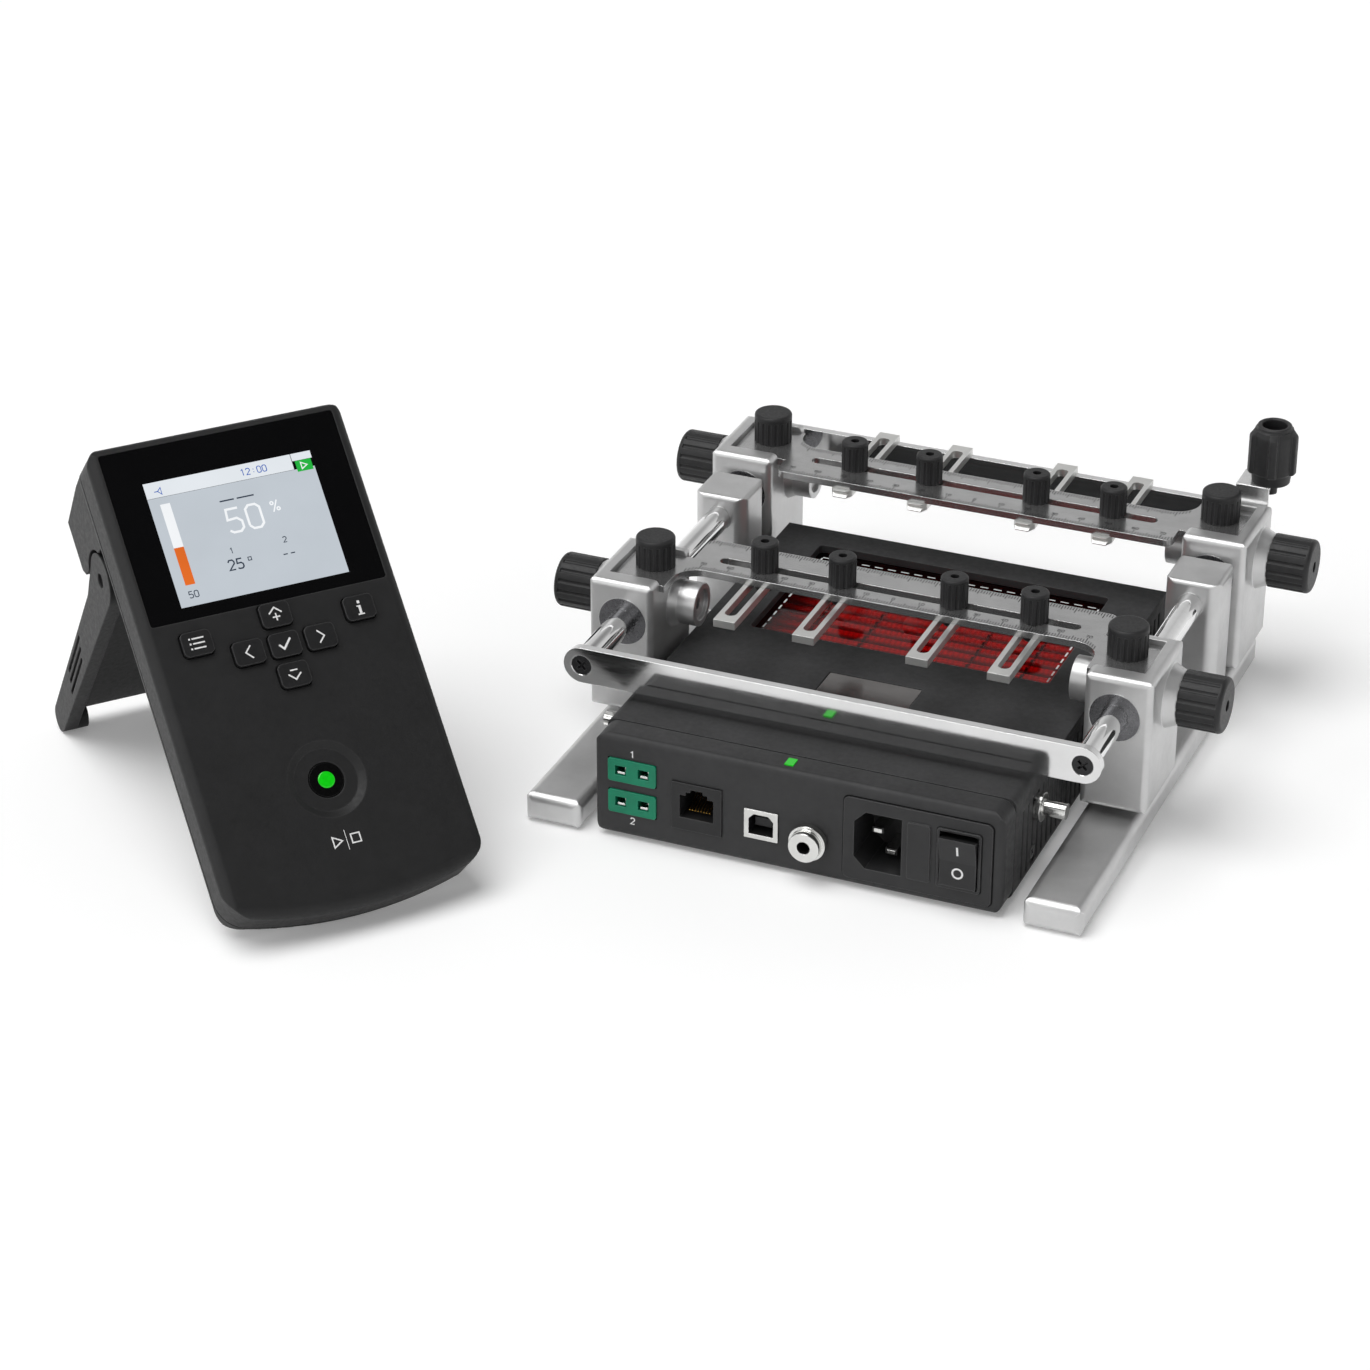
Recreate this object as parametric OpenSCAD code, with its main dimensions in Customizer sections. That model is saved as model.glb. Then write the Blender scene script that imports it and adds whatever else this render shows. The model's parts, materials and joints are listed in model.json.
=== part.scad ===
// Bench preheater for circuit boards: an infrared heater box, a board holder that
// straddles it on two feet, and a console on a folding stand.
// Millimetres, Z up, the bench is Z = 0. The heater's front panel faces -Y.

/* [Placement] */
// Heater centre plane from the middle of the set
unit_x = 78.1; // [40:0.1:120]
// Heater front face from the middle of the set
unit_y = -52.3; // [-120:0.1:0]
// Holder's middle from the heater centre plane
holder_x = 1.2; // [-2:0.1:2]
// Holder's place along the heater
holder_y = -3.1; // [-4:0.1:2]
// Console's lower edge from the heater centre plane
console_x = -113.7; // [-200:0.1:-110]
// Console's lower edge from the heater front face
console_y = -87; // [-120:0.5:-60]
// Turn of the console about the vertical
console_turn = 49.5; // [0:0.5:60]
// Lean of the console back from the vertical
console_lean = 45; // [38:1:50]

/* [Holder frame] */
// Distance between the two guide rods
rod_span = 176.8; // [170:0.2:190]
// Height of the guide rods above the bench
rod_z = 48.9; // [46:0.1:52]
// Diameter of the guide rods
rod_d = 9; // [8:0.1:10]
// Front face of the front tie bar, along the holder
frame_front = 26.8; // [20:0.2:30]
// Depth of the holder over both tie bars
frame_depth = 195.6; // [190:0.2:210]
// Thickness of the tie bars
tie_bar_t = 3; // [2:0.1:4]
// Height of the tie bars
tie_bar_h = 13; // [11:0.1:13.4]
// Screw hole in the tie bars
tie_hole_d = 4; // [3:0.1:5]
// Countersink of that hole
tie_sink_d = 7.6; // [6:0.1:9]
// Width of each foot
foot_w = 20.6; // [18:0.2:22]
// Height of each foot
foot_h = 10.6; // [8:0.2:12]
// Front end of the feet, along the holder
foot_front = 1.4; // [0:0.2:10]
// Length of the feet
foot_len = 207.4; // [195:0.2:215]
// Rounding of the feet
foot_r = 3; // [1:0.1:4.5]
// Front face of the upright posts, ahead of the rear end of the holder
post_from_back = 73.2; // [72.4:0.2:77]
// Depth of the posts
post_len = 20.4; // [16:0.1:21]
// Top of the posts
post_top = 57.6; // [56:0.1:60]
// Rounding of the posts' upright corners
post_r = 4.5; // [2:0.1:6]
// Rounding of the posts' upper edges
post_edge_r = 1.6; // [0.6:0.1:2.5]

/* [Carriages] */
// Width of a carriage
carriage_w = 23.5; // [22:0.1:26]
// Depth of a carriage
carriage_len = 35.4; // [34:0.1:37]
// Top of the carriages
carriage_top = 63.5; // [62.5:0.1:66]
// Underside of the carriages
carriage_bottom = 14; // [12.5:0.1:18]
// Rod axis from the carriage's inner face
rod_inset = 10.9; // [10.3:0.1:11.5]
// Rounding of the carriages' edges
carriage_r = 2.2; // [1:0.1:2.6]
// Front face of the front carriages, along the holder
front_carriage_y = 61.5; // [60:0.1:70]
// Front face of the rear carriages, ahead of the rear end of the holder
rear_from_back = 50.4; // [49.4:0.1:50.8]
// Clamp axes from the carriage's front face
clamp_back = 22.2; // [20:0.1:23]
// Top knob axis from the rod axis, toward the middle
clamp_in = 3.1; // [2:0.1:4]
// Rim of the pocket at the front
pocket_front = 7; // [5:0.1:8]
// Rim of the pocket at the back
pocket_back = 4; // [3:0.1:5]
// Rim of the pocket at the outer side
pocket_side = 5; // [3:0.1:6]
// How far the ruler plate lies below the rim
plate_drop = 1.9; // [0.5:0.1:2.4]
// Boss on the inner face: diameter
boss_d = 15.4; // [13:0.1:16.4]
// Boss on the inner face: length
boss_len = 9.6; // [7:0.1:11]
// Collar at the root of that boss
boss_root_d = 18.4; // [17:0.1:20]
// Recess in the end of the boss
boss_recess_d = 11; // [8:0.1:12]
// Hole in the bottom of that recess
boss_hole_d = 4.2; // [3:0.1:5]
// Flare that carries the side knob: diameter at the carriage
flare_d = 22.4; // [20:0.1:24]
// Flare that carries the side knob: length
flare_len = 4.4; // [3:0.1:6]
// Outer diameter of the bushings
bushing_d = 17.4; // [15:0.1:18]
// Length of the bushings
bushing_len = 8; // [6:0.1:9]
// Room around the rod between the bushings
rod_room = 0.8; // [0.5:0.1:1.2]

/* [Rulers and fingers] */
// Thickness of the ruler plates
ruler_t = 2.5; // [2:0.1:3]
// Width of the ruler between the carriages
ruler_w = 23.4; // [20:0.1:24]
// Half length of that straight part
ruler_half = 74.6; // [72:0.1:76]
// Outer edge of the ruler from the clamp axis
ruler_from_clamp = 1.4; // [0.5:0.1:2]
// Slot axis from the ruler's outer edge
slot_from_edge = 9.7; // [8.5:0.1:11]
// Width of the slot
slot_w = 4.4; // [4.3:0.1:4.8]
// Half length of the slot
slot_half = 65.6; // [65:0.1:67]
// Fillet where the ruler widens into its end
ruler_fillet = 9; // [5:0.1:12]
// Corner rounding of the ruler
ruler_corner = 3; // [1:0.1:4]
// Width of a finger
finger_w = 7.8; // [7:0.1:8.4]
// Thickness of a finger
finger_t = 2.8; // [2:0.1:3]
// Length of a finger
finger_len = 53; // [50:0.5:54]
// Outer end of a finger from the ruler slot
finger_out = 37.4; // [36:0.1:39]
// Solid bar at the outer end of the finger
finger_bar = 4.4; // [3:0.1:6]
// Slot in the finger ends this far past the ruler slot
finger_slot_in = 7; // [6.2:0.1:8]
// Depth of the notch in the jaw
jaw_depth = 1.1; // [0.7:0.1:1.2]
// Inner finger places from the middle
finger_x_in = 20.3; // [18:0.1:22]
// Outer finger places from the middle
finger_x_out = 49; // [47:0.1:50]
// Diameter of a finger nut
nut_d = 9.6; // [8.6:0.1:10]
// Height of a finger nut
nut_h = 10.5; // [9:0.1:12]
// Screw of a finger nut
nut_screw_d = 4; // [3.4:0.1:4.1]
// Screw head under the finger: diameter
nut_head_d = 7; // [6:0.1:7.6]
// Screw head under the finger: thickness
nut_head_t = 1.8; // [1.4:0.1:2]
// Socket in the top of the nut
nut_socket_d = 3.2; // [2.5:0.1:4]

/* [Knobs] */
// Diameter of the top knobs
top_knob_d = 13.8; // [12:0.1:15]
// Height of the top knobs
top_knob_h = 10.9; // [9:0.1:13]
// Screw of the top knobs
top_screw_d = 5; // [4:0.1:5.4]
// Length of that screw below the plate
top_screw_in = 3.6; // [3:0.1:4]
// Diameter of the side knobs
side_knob_d = 19.4; // [17:0.1:20]
// Length of the side knobs
side_knob_len = 15; // [12:0.1:17]
// Screw of the side knobs
side_screw_d = 6; // [5:0.1:6.6]
// Socket in the end of the side knobs
side_socket_d = 4; // [3:0.1:6]
// Lobed sensor knob: diameter over the lobes
sensor_knob_d = 17.6; // [15:0.1:19]
// Lobed sensor knob: height
sensor_knob_h = 22; // [18:0.5:25]
// Underside of the sensor knob
sensor_knob_z = 69.8; // [68:0.1:72]
// Sensor knob axis from the carriage's outer face
sensor_in = 3.4; // [2:0.1:6]
// Sensor knob axis behind the carriage
sensor_back = 7; // [6:0.1:9]
// Sensor bracket strip: width
bracket_w = 12; // [10:0.1:14]
// Sensor bracket strip: thickness
bracket_t = 1.5; // [1:0.1:2]
// Gap between the sensor bracket and the rod below it
bracket_room = 1; // [0.5:0.1:3]
// Screw of the sensor knob
sensor_screw_d = 5; // [4:0.1:6]

/* [Heater] */
// Width of the heater
heater_w = 144.2; // [138:0.2:145]
// Length of the heater
heater_len = 178; // [175:0.5:182]
// Underside of the heater above the bench
heater_lift = 1; // [0.8:0.1:3]
// Top of the nose
nose_top = 38.8; // [37.5:0.1:39.5]
// Top of the flat cover behind the nose
cover_top = 35.5; // [34:0.1:36.5]
// Where the nose starts to slope down
nose_len = 31.5; // [28:0.5:34]
// Where the slope meets the cover
cover_front = 41; // [38:0.5:44]
// Thickness of the cover
cover_t = 2; // [1.5:0.1:2.5]
// Wall of the housing
wall = 2.5; // [2:0.1:3]
// Edge rounding of the housing
heater_r = 3; // [1.5:0.1:4]
// Depth of the front panel cap
panel_len = 10.5; // [8:0.1:12]
// Thickness of the front panel's face
panel_t = 3; // [2:0.1:4]
// Corner rounding of the front panel
panel_r = 5; // [3:0.1:6]
// Rounding of the front panel's edge
panel_edge_r = 2.4; // [1:0.1:2.8]
// Half width of the window opening
window_half = 55; // [50:0.5:57]
// Front edge of the window opening
window_front = 96; // [94:0.5:98]
// Length of the window opening
window_len = 69.5; // [60:0.5:72]
// Depth of the glass below the cover's top
glass_drop = 3; // [2.6:0.1:4]
// Thickness of the glass
glass_t = 2.5; // [2:0.1:3]
// Overlap of the glass under the cover
glass_lap = 3; // [2:0.1:4]
// Diameter of an infrared tube
tube_d = 4.6; // [3.6:0.1:5]
// Number of infrared tubes
tube_count = 12; // [8:1:13]
// Wall of the reflector tray
tray_t = 1.2; // [0.8:0.1:2]
// Depth of the reflector below the glass
tray_depth = 14; // [11:0.1:16]
// Half width of the inset plate on the cover
inset_half = 17; // [12:0.5:20]
// Front edge of the inset plate
inset_front = 59.6; // [56:0.5:64]
// Depth of the inset plate front to back
inset_len = 16; // [10:0.5:18]
// How deep the inset is cut
inset_cut = 0.6; // [0.3:0.1:1]
// Diameter of the rubber pads
pad_d = 12; // [9:0.5:16]
// Distance of the pads from the sides and ends
pad_in = 14; // [10:0.5:20]
// Side pins: diameter
pin_d = 5.5; // [4:0.1:6]
// Side pins: reach from the wall
pin_len = 10.4; // [8:0.1:11]
// Side pins: flange diameter
pin_flange_d = 10; // [8:0.1:12]
// Side pins: flange thickness
pin_flange_t = 2.4; // [1.5:0.1:3]
// Side pins: distance behind the front face
pin_y = 33.5; // [30:0.5:38]
// Side pins: height
pin_z = 24.9; // [19:0.1:28]
// Indicator lamp: width
lamp_w = 3; // [2:0.1:4]
// Indicator lamp: length
lamp_len = 4.4; // [3:0.1:5.6]
// Indicator lamp: place across
lamp_x = -4.1; // [-6:0.1:6]
// Indicator lamp: ahead of the middle of the cap's flat top
lamp_ahead = 0.55; // [0:0.05:0.6]
// Height of the indicator lamp above the panel cap
lamp_h = 0.4; // [0.2:0.1:1]
// Flutes in the side walls: spacing
flute_pitch = 5.2; // [4:0.1:7]
// Flutes in the side walls: radius
flute_r = 1.1; // [0.8:0.1:1.6]
// Flutes in the side walls: depth
flute_d = 0.7; // [0.4:0.1:0.9]
// Flutes in the side walls: first one behind the front face
flute_front = 19.4; // [16:0.1:22]
// Lock slot in the right wall: distance behind the front face
lock_y = 32; // [28:0.5:36]
// Lock slot in the right wall: height above the bench
lock_z = 7.4; // [7:0.1:9]

/* [Sockets] */
// Room around a socket in the front panel
socket_fit = 0.1; // [0.05:0.05:0.3]
// Thermocouple sockets: width
tc_w = 17.3; // [15:0.1:18]
// Thermocouple sockets: height
tc_h = 8.6; // [8:0.1:9]
// Thermocouple sockets: place across
tc_x = -58.3; // [-60:0.1:-57]
// Thermocouple sockets: height of the upper one
tc_z_top = 26.2; // [24.5:0.1:28]
// Thermocouple sockets: height of the lower one
tc_z_low = 14.3; // [12.5:0.1:15.5]
// Thermocouple sockets: length
tc_len = 14; // [10:0.5:18]
// Network-type socket: width
net_w = 18; // [16:0.1:19]
// Network-type socket: height
net_h = 17.8; // [15:0.1:18]
// Network-type socket: place across
net_x = -35; // [-37:0.1:-34]
// Network-type socket: height above the bench
net_z = 17.6; // [16.5:0.1:20]
// Opening of the network-type socket: width
net_hole_w = 12; // [11:0.1:13]
// Opening of the network-type socket: height
net_hole_h = 8.4; // [7.5:0.1:9]
// Opening of the network-type socket: depth
net_hole_len = 13; // [10:0.5:14]
// Square data socket: width
data_w = 12; // [11:0.1:13]
// Square data socket: height
data_h = 10.9; // [10:0.1:12]
// Square data socket: place across
data_x = -12; // [-14:0.1:-11]
// Square data socket: height above the bench
data_z = 16.5; // [14.5:0.1:18.5]
// Pedal jack: nut diameter
jack_nut_d = 12.9; // [11:0.1:14]
// Pedal jack: bore
jack_bore = 4.4; // [4:0.1:5]
// Pedal jack: barrel behind the panel
jack_barrel_d = 9.6; // [8.6:0.1:10.5]
// Pedal jack: place across
jack_x = 5.1; // [4.2:0.1:6]
// Pedal jack: height above the bench
jack_z = 14.7; // [13.5:0.1:18.5]
// Power inlet frame: width
inlet_w = 51.4; // [51:0.1:52]
// Power inlet frame: height
inlet_h = 30.6; // [29:0.1:31]
// Power inlet frame: place across
inlet_x = 42.7; // [42:0.1:43]
// Power inlet frame: height above the bench
inlet_z = 19.2; // [18.5:0.1:19.5]
// Power inlet frame: thickness
inlet_t = 0.6; // [0.4:0.1:1.6]
// Mains opening: width
mains_w = 16.5; // [15:0.1:17]
// Mains opening: height
mains_h = 21.2; // [20:0.1:22]
// Mains opening: depth
mains_len = 19; // [18:0.5:22]
// Mains opening: place from the frame's centre
mains_x = -13.7; // [-14.5:0.1:-13.2]
// Fuse drawer: width
fuse_w = 8; // [6:0.1:9]
// Fuse drawer: place from the frame's centre
fuse_x = 0.6; // [0.2:0.1:1]
// Switch place from the frame's centre
switch_x = 14.4; // [14:0.1:15]
// Rocker: width
rocker_w = 12.6; // [11:0.1:13]
// Rocker: height
rocker_h = 18.6; // [17:0.1:19]
// Rocker: half swing
rocker_swing = 5.5; // [4:0.5:9]
// Room around the rocker
rocker_room = 0.4; // [0.3:0.1:0.6]

/* [Console] */
// Width of the console
console_w = 90; // [88:0.5:94]
// Height of the console along its face
console_h = 169.5; // [168:0.5:175]
// Thickness of the console's flat body
console_t = 18; // [17:0.1:20]
// Thickness of the front shell
face_t = 13; // [9:0.1:14]
// Upper corner rounding of the console
console_r = 6; // [4:0.1:8]
// Lower corner rounding of the console
console_low_r = 11; // [9:0.1:13]
// Edge rounding of the console
console_edge_r = 3.5; // [2:0.1:4]
// Radius of the console's curved lower edge
console_sweep = 150; // [120:1:200]
// Wall of the console shells
console_wall = 2; // [1.6:0.1:2.4]
// Display window: width
screen_window_w = 82.5; // [78:0.5:83]
// Display window: height
screen_window_h = 61; // [58:0.5:61.5]
// Display window: centre above the lower edge
screen_window_v = 136; // [135.5:0.5:136.5]
// Depth of the recess that holds the display window
screen_window_t = 1.2; // [0.8:0.1:1.4]
// Display: width
screen_w = 58.8; // [56:0.1:60]
// Display: height
screen_h = 44.1; // [42:0.1:46]
// Display: centre above the lower edge
screen_v = 132; // [130:0.5:134]
// Keys: width
key_w = 10.4; // [9:0.1:11.4]
// Keys: height
key_h = 8.4; // [7.6:0.1:9.2]
// Keys: how far they stand out
key_out = 1.5; // [1:0.1:2]
// Keys: travel
key_travel = 1; // [0.5:0.1:1.2]
// Key pitch across
key_pitch_u = 12.6; // [12.2:0.1:14]
// Key pitch up the face
key_pitch_v = 10.6; // [10.4:0.1:12]
// Middle key above the lower edge
key_v = 90.1; // [87:0.1:90.6]
// Outer keys from the middle
key_side_u = 28.4; // [27:0.1:29]
// Outer keys above the lower edge
key_side_v = 96.9; // [95:0.1:97.4]
// Room around a key
key_room = 0.3; // [0.2:0.05:0.4]
// Start button above the lower edge
start_v = 43.2; // [38:0.1:48]
// Start button: diameter
start_d = 11.6; // [10:0.1:13]
// Dish around the start button: diameter
dish_d = 26.4; // [22:0.1:30]
// Dish around the start button: depth
dish_cut = 1.2; // [0.8:0.1:1.4]
// Lens in the start button
lens_d = 5.4; // [4:0.1:6.5]
// Lower edge of the deep head, above the hinge
head_from_hinge = 7; // [5:0.5:9]
// Head on the console's back: height of its rear face
head_h = 20; // [16:0.5:22]
// Head on the console's back: depth behind the flat body
head_d = 25; // [22:0.5:30]
// Stand hinge above the lower edge
hinge_v = 133.5; // [132:0.5:134]
// Stand hinge behind the flat body
hinge_back = 10; // [9.8:0.1:11]
// Hinge pin of the stand
hinge_pin_d = 5; // [4:0.1:6]
// Hinge barrel
hinge_barrel_d = 9; // [8:0.1:10]
// Width of the stand
stand_w = 89; // [82:0.5:89.5]
// Thickness of the stand's side plates
stand_side_t = 5; // [4:0.1:6]
// Thickness of the stand's panel
stand_t = 3; // [2:0.1:4]
// Opening angle of the stand
stand_open = 81; // [74:0.5:84]

/* [Small details] */
// Width of the posts
post_w = 20; // [17:0.1:20.4]
// Length of the collar at the boss root
boss_root_len = 3; // [2:0.1:4]
// Depth of the recess in the boss end
boss_recess_cut = 1.5; // [1:0.1:2.5]
// Room under the top knob's screw
top_screw_room = 0.4; // [0.2:0.1:0.6]
// Start of the ruler's end, from the carriage's inner face
tab_gap = 1.6; // [1:0.1:2]
// Taper of the finger jaw
jaw_taper = 3; // [2:0.1:4]
// Width of the finger jaw at its tip
jaw_w = 4.8; // [4:0.1:6]
// Room of the nut's screw in the finger slot, on each side
finger_slot_room = 0.15; // [0.1:0.05:0.2]
// Depth of the socket in the nuts
nut_socket_cut = 4; // [3:0.1:6]
// Gap between the clamp screw and the rod when loosened
screw_gap = 0.3; // [0.2:0.05:0.5]
// Depth of the socket in the side knobs
side_socket_cut = 5; // [3:0.1:8]
// Length of the sensor screw below its bracket
sensor_screw_out = 3; // [2:0.1:5]
// How deep the lamp is set in
lamp_sink = 1.6; // [1:0.1:1.8]
// Ledge under the front edge of the cover
cover_ledge = 3; // [2:0.1:4]
// Ledge thickness under the cover
ledge_t = 1; // [0.8:0.1:1.4]
// How much larger the inlet frame is than its body
inlet_lip = 5; // [4.6:0.1:6]
// How far the sockets stand out of the panel
socket_out = 0.6; // [0.3:0.1:1]
// Data socket: length
data_len = 14; // [12:0.5:18]
// Data socket: width lost to its walls
data_wall = 3.4; // [2:0.1:4]
// Cut corners of the data socket's mouth
data_cut = 1.8; // [1:0.1:2.6]
// Data socket: tongue behind the face
data_tongue_back = 2; // [1:0.1:4]
// Pedal jack: nut thickness
jack_nut_t = 3; // [2:0.1:3.5]
// Collar of the jack: how far it stands out
jack_out = 6; // [5:0.1:7]
// Diameter of that collar
jack_collar_d = 10.8; // [10:0.1:11.4]
// Pedal jack: barrel length
jack_len = 18; // [15:0.5:22]
// Pedal jack: depth of the bore behind the face
jack_bore_len = 14; // [12:0.5:14.5]
// Mains pins: length
mains_pin_len = 11; // [9:0.5:11.5]
// Mains pins: width
mains_pin_w = 4; // [3.5:0.1:4.4]
// Mains pins: thickness
mains_pin_t = 2; // [1.6:0.1:2.4]
// Mains opening: cut corners
mains_cut = 4; // [3:0.1:5]
// Length of the inlet body behind the panel
inlet_body_len = 24; // [22:0.5:28]
// Rim around the rocker
bezel_w = 0.9; // [0.6:0.1:1.1]
// Room at the ends of the rocker
rocker_end = 0.8; // [0.7:0.1:1]
// Depth of the rocker's well behind the panel
rocker_well = 8; // [7:0.1:10]
// Rocker pivot behind the panel's face
rocker_pivot_y = 1.6; // [1:0.1:2]
// Rocker pivot pin
rocker_pin_d = 3; // [2:0.1:3.4]
// Length of the rocker pivot pin
rocker_shaft = 15.4; // [14.8:0.1:16]
// Rocker: reach in front of its pivot
rocker_front = 4.4; // [4:0.1:5.6]
// Rocker: dip in the middle of its face
rocker_dip = 1.2; // [0.8:0.1:1.6]
// Rocker: reach behind its pivot
rocker_deep = 3; // [2:0.1:3.4]
// Lip that keeps a key in the console
key_lip = 0.5; // [0.45:0.05:0.55]
// Thickness of that lip
key_lip_t = 1; // [0.8:0.1:1.4]
// Lip that keeps the start button in the console
start_lip = 1.2; // [0.8:0.1:2]
// Start button above the floor of its dish
start_out = 0.1; // [0:0.1:1]
// Lens above the start button
lens_out = 0.2; // [0.1:0.1:0.6]
// Display window below the face
screen_sunk = 0.2; // [0.1:0.1:0.4]
// Display module behind its window
screen_deep = 3; // [1.5:0.1:4]
// Radius of the stand around its hinge
stand_top_r = 9.4; // [8:0.1:9.6]
// Room around the stand in the console's head
stand_room = 1.2; // [1:0.1:1.6]
// Radius of the stand's foot
stand_foot_r = 5; // [4:0.1:5.5]
// Length of the stand's round feet
stand_foot_len = 9; // [7:0.5:14]
// Length of the slots in the stand's sides
stand_slot = 24; // [15:0.5:30]
// Width of those slots
stand_slot_w = 1.6; // [1:0.1:1.8]
// Spacing of those slots
stand_slot_pitch = 2.8; // [2.4:0.1:3]
// Bevel at the rear edges of the head
head_bevel = 2.5; // [1:0.1:4]
// Groove between the panel cap and the housing: width
groove_w = 0.8; // [0.4:0.1:1.2]
// Groove between the panel cap and the housing: depth
groove_d = 0.8; // [0.4:0.1:1.2]
// Lower end of the flutes above the bench
flute_low = 4.4; // [3:0.1:6]
// Plain wall above and behind the flutes
flute_end = 3; // [2:0.1:5]
// Lock slot: width
lock_w = 2.8; // [2:0.1:3.4]
// Lock slot: height
lock_h = 6; // [5:0.1:6.6]
// Cross supports of the infrared tubes: spacing
support_pitch = 20; // [16:0.5:24]
// Cross supports of the infrared tubes: thickness
support_t = 1; // [0.8:0.1:1.6]
// Gap between the tube supports and the tubes
support_drop = 0.2; // [0.1:0.1:1]
// Joint between the console shells: width
joint_w = 0.6; // [0.3:0.1:0.9]
// Joint between the console shells: depth
joint_d = 0.7; // [0.3:0.1:0.9]

/* [Hidden] */
$fn = 48;
// Radial clearance of turning and sliding shafts
run_gap = 0.05;
// Clearance between flat faces that slide on each other
slide_gap = 0.1;
// Clearance of a plate in its pocket
seat_gap = 0.2;
eps = 0.01;

rod_x = rod_span / 2;
frame_back = frame_front + frame_depth;
post_front = frame_back - post_from_back;
rear_carriage_y = frame_back - rear_from_back;
carriage_in = rod_x - rod_inset;
carriage_out = carriage_in + carriage_w;
clamp_x = rod_x - clamp_in;
plate_top = carriage_top - plate_drop;
plate_low = plate_top - ruler_t;
front_clamp_y = front_carriage_y + clamp_back;
rear_clamp_y = rear_carriage_y + clamp_back;
front_slot_y = front_clamp_y + ruler_from_clamp + slot_from_edge;
rear_slot_y = rear_clamp_y - ruler_from_clamp - slot_from_edge;
slot_to_clamp = ruler_from_clamp + slot_from_edge;
ruler_outer = -slot_from_edge;
ruler_inner = ruler_w - slot_from_edge;
finger_top = plate_low - slide_gap;
finger_low = finger_top - finger_t;
finger_places = [-finger_x_out, -finger_x_in, finger_x_in, finger_x_out];
tab_end = carriage_out - pocket_side - seat_gap;
heater_half = heater_w / 2;
cover_low = cover_top - cover_t;
glass_top = cover_top - glass_drop;
glass_low = glass_top - glass_t;
window_mid = window_front + window_len / 2;
floor_z = heater_lift + wall;
side_knob_in = carriage_out + flare_len + slide_gap;
bracket_top = sensor_knob_z - slide_gap;
bracket_z = rod_z + rod_d / 2 + bracket_room;
sensor_x = carriage_out - sensor_in;
sensor_y = rear_carriage_y + carriage_len + sensor_back;
console_back_w = -console_t;
face_low = -face_t;
// Centre of the console's lower corners, where they run into the curved edge
console_low_u = console_w / 2 - console_low_r;
console_low_v = console_sweep
    - sqrt(pow(console_sweep - console_low_r, 2) - pow(console_low_u, 2));
// The lowest point of the console is on the rounded back of its lower edge
console_lift = (console_t - console_edge_r) * sin(console_lean)
    + console_edge_r * (1 - cos(console_lean));
head_v = hinge_v + head_from_hinge;
hinge_w = console_back_w - hinge_back;
// Height of the stand's hinge above the bench, and the leg that reaches down from it
hinge_z = console_lift + hinge_v * cos(console_lean) + hinge_w * sin(console_lean);
stand_len = (hinge_z - stand_foot_r) / cos(stand_open - console_lean);
tab_start = carriage_in - tab_gap;
lamp_y = (panel_edge_r + panel_len) / 2 - lamp_ahead;
finger_slot_w = nut_screw_d + 2 * finger_slot_room;
roof_z = cover_low - ledge_t;

// Rectangle with rounded corners, centred
module round_rect(w, h, r) {
    square([w - 2 * r, h], center = true);
    square([w, h - 2 * r], center = true);
    for (x = [-1, 1], y = [-1, 1])
        translate([x * (w / 2 - r), y * (h / 2 - r)]) circle(r);
}

// Slot outline along X: two half circles joined by straight sides
module slot_shape(span, w) {
    square([span, w], center = true);
    for (x = [-1, 1]) translate([x * span / 2, 0]) circle(d = w);
}

// Block with rounded upright corners and rounded edges, standing on Z = 0
module soft_block(w, d, h, plan_r, edge_r) {
    intersection() {
        linear_extrude(h) round_rect(w, d, plan_r);
        translate([0, d / 2, h / 2]) rotate([90, 0, 0]) linear_extrude(d) round_rect(w, h, edge_r);
        translate([-w / 2, 0, h / 2]) rotate([90, 0, 90]) linear_extrude(w) round_rect(d, h, edge_r);
    }
}

// A shape in the XZ plane, drawn from y forward by length
module along_y(y, length) {
    translate([0, y + length, 0]) rotate([90, 0, 0]) linear_extrude(length) children();
}

// A shape in the YZ plane, drawn from x by length
module along_x(x, length) {
    translate([x, 0, 0]) rotate([90, 0, 90]) linear_extrude(length) children();
}

// Cylinder along +Y and along +X
module rod_y(d, length) {
    rotate([-90, 0, 0]) cylinder(d = d, h = length);
}
module rod_x_dir(d, length) {
    rotate([0, 90, 0]) cylinder(d = d, h = length);
}

module both_sides() {
    children();
    mirror([1, 0, 0]) children();
}

module at_unit() {
    translate([unit_x, unit_y, 0]) children();
}

// The holder stands free, a little off the heater's middle
module at_holder() {
    translate([unit_x + holder_x, unit_y + holder_y, 0]) children();
}

// Console frame: X across, Y up its face, Z out of its face
module at_console() {
    translate([unit_x + console_x, unit_y + console_y, console_lift])
        rotate([0, 0, console_turn]) rotate([90 - console_lean, 0, 0]) children();
}

// Slot frames of the rulers: Y = 0 on the slot, +Y toward the board
module at_front_slot() {
    at_holder() translate([0, front_slot_y, 0]) children();
}
module at_rear_slot() {
    at_holder() translate([0, rear_slot_y, 0]) mirror([0, 1, 0]) children();
}

// Grip with flutes, its base on Z = 0
module fluted_grip(d, h, count, flute_r, rim, stop) {
    difference() {
        rotate_extrude() {
            square([d / 2 - rim, h]);
            square([d / 2, h - rim]);
            translate([d / 2 - rim, h - rim]) circle(rim);
        }
        for (i = [0:count - 1])
            rotate(i * 360 / count)
                translate([d / 2 + flute_r * 0.4, 0, -1]) cylinder(r = flute_r, h = h - stop + 1);
    }
}

// Holder frame

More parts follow.
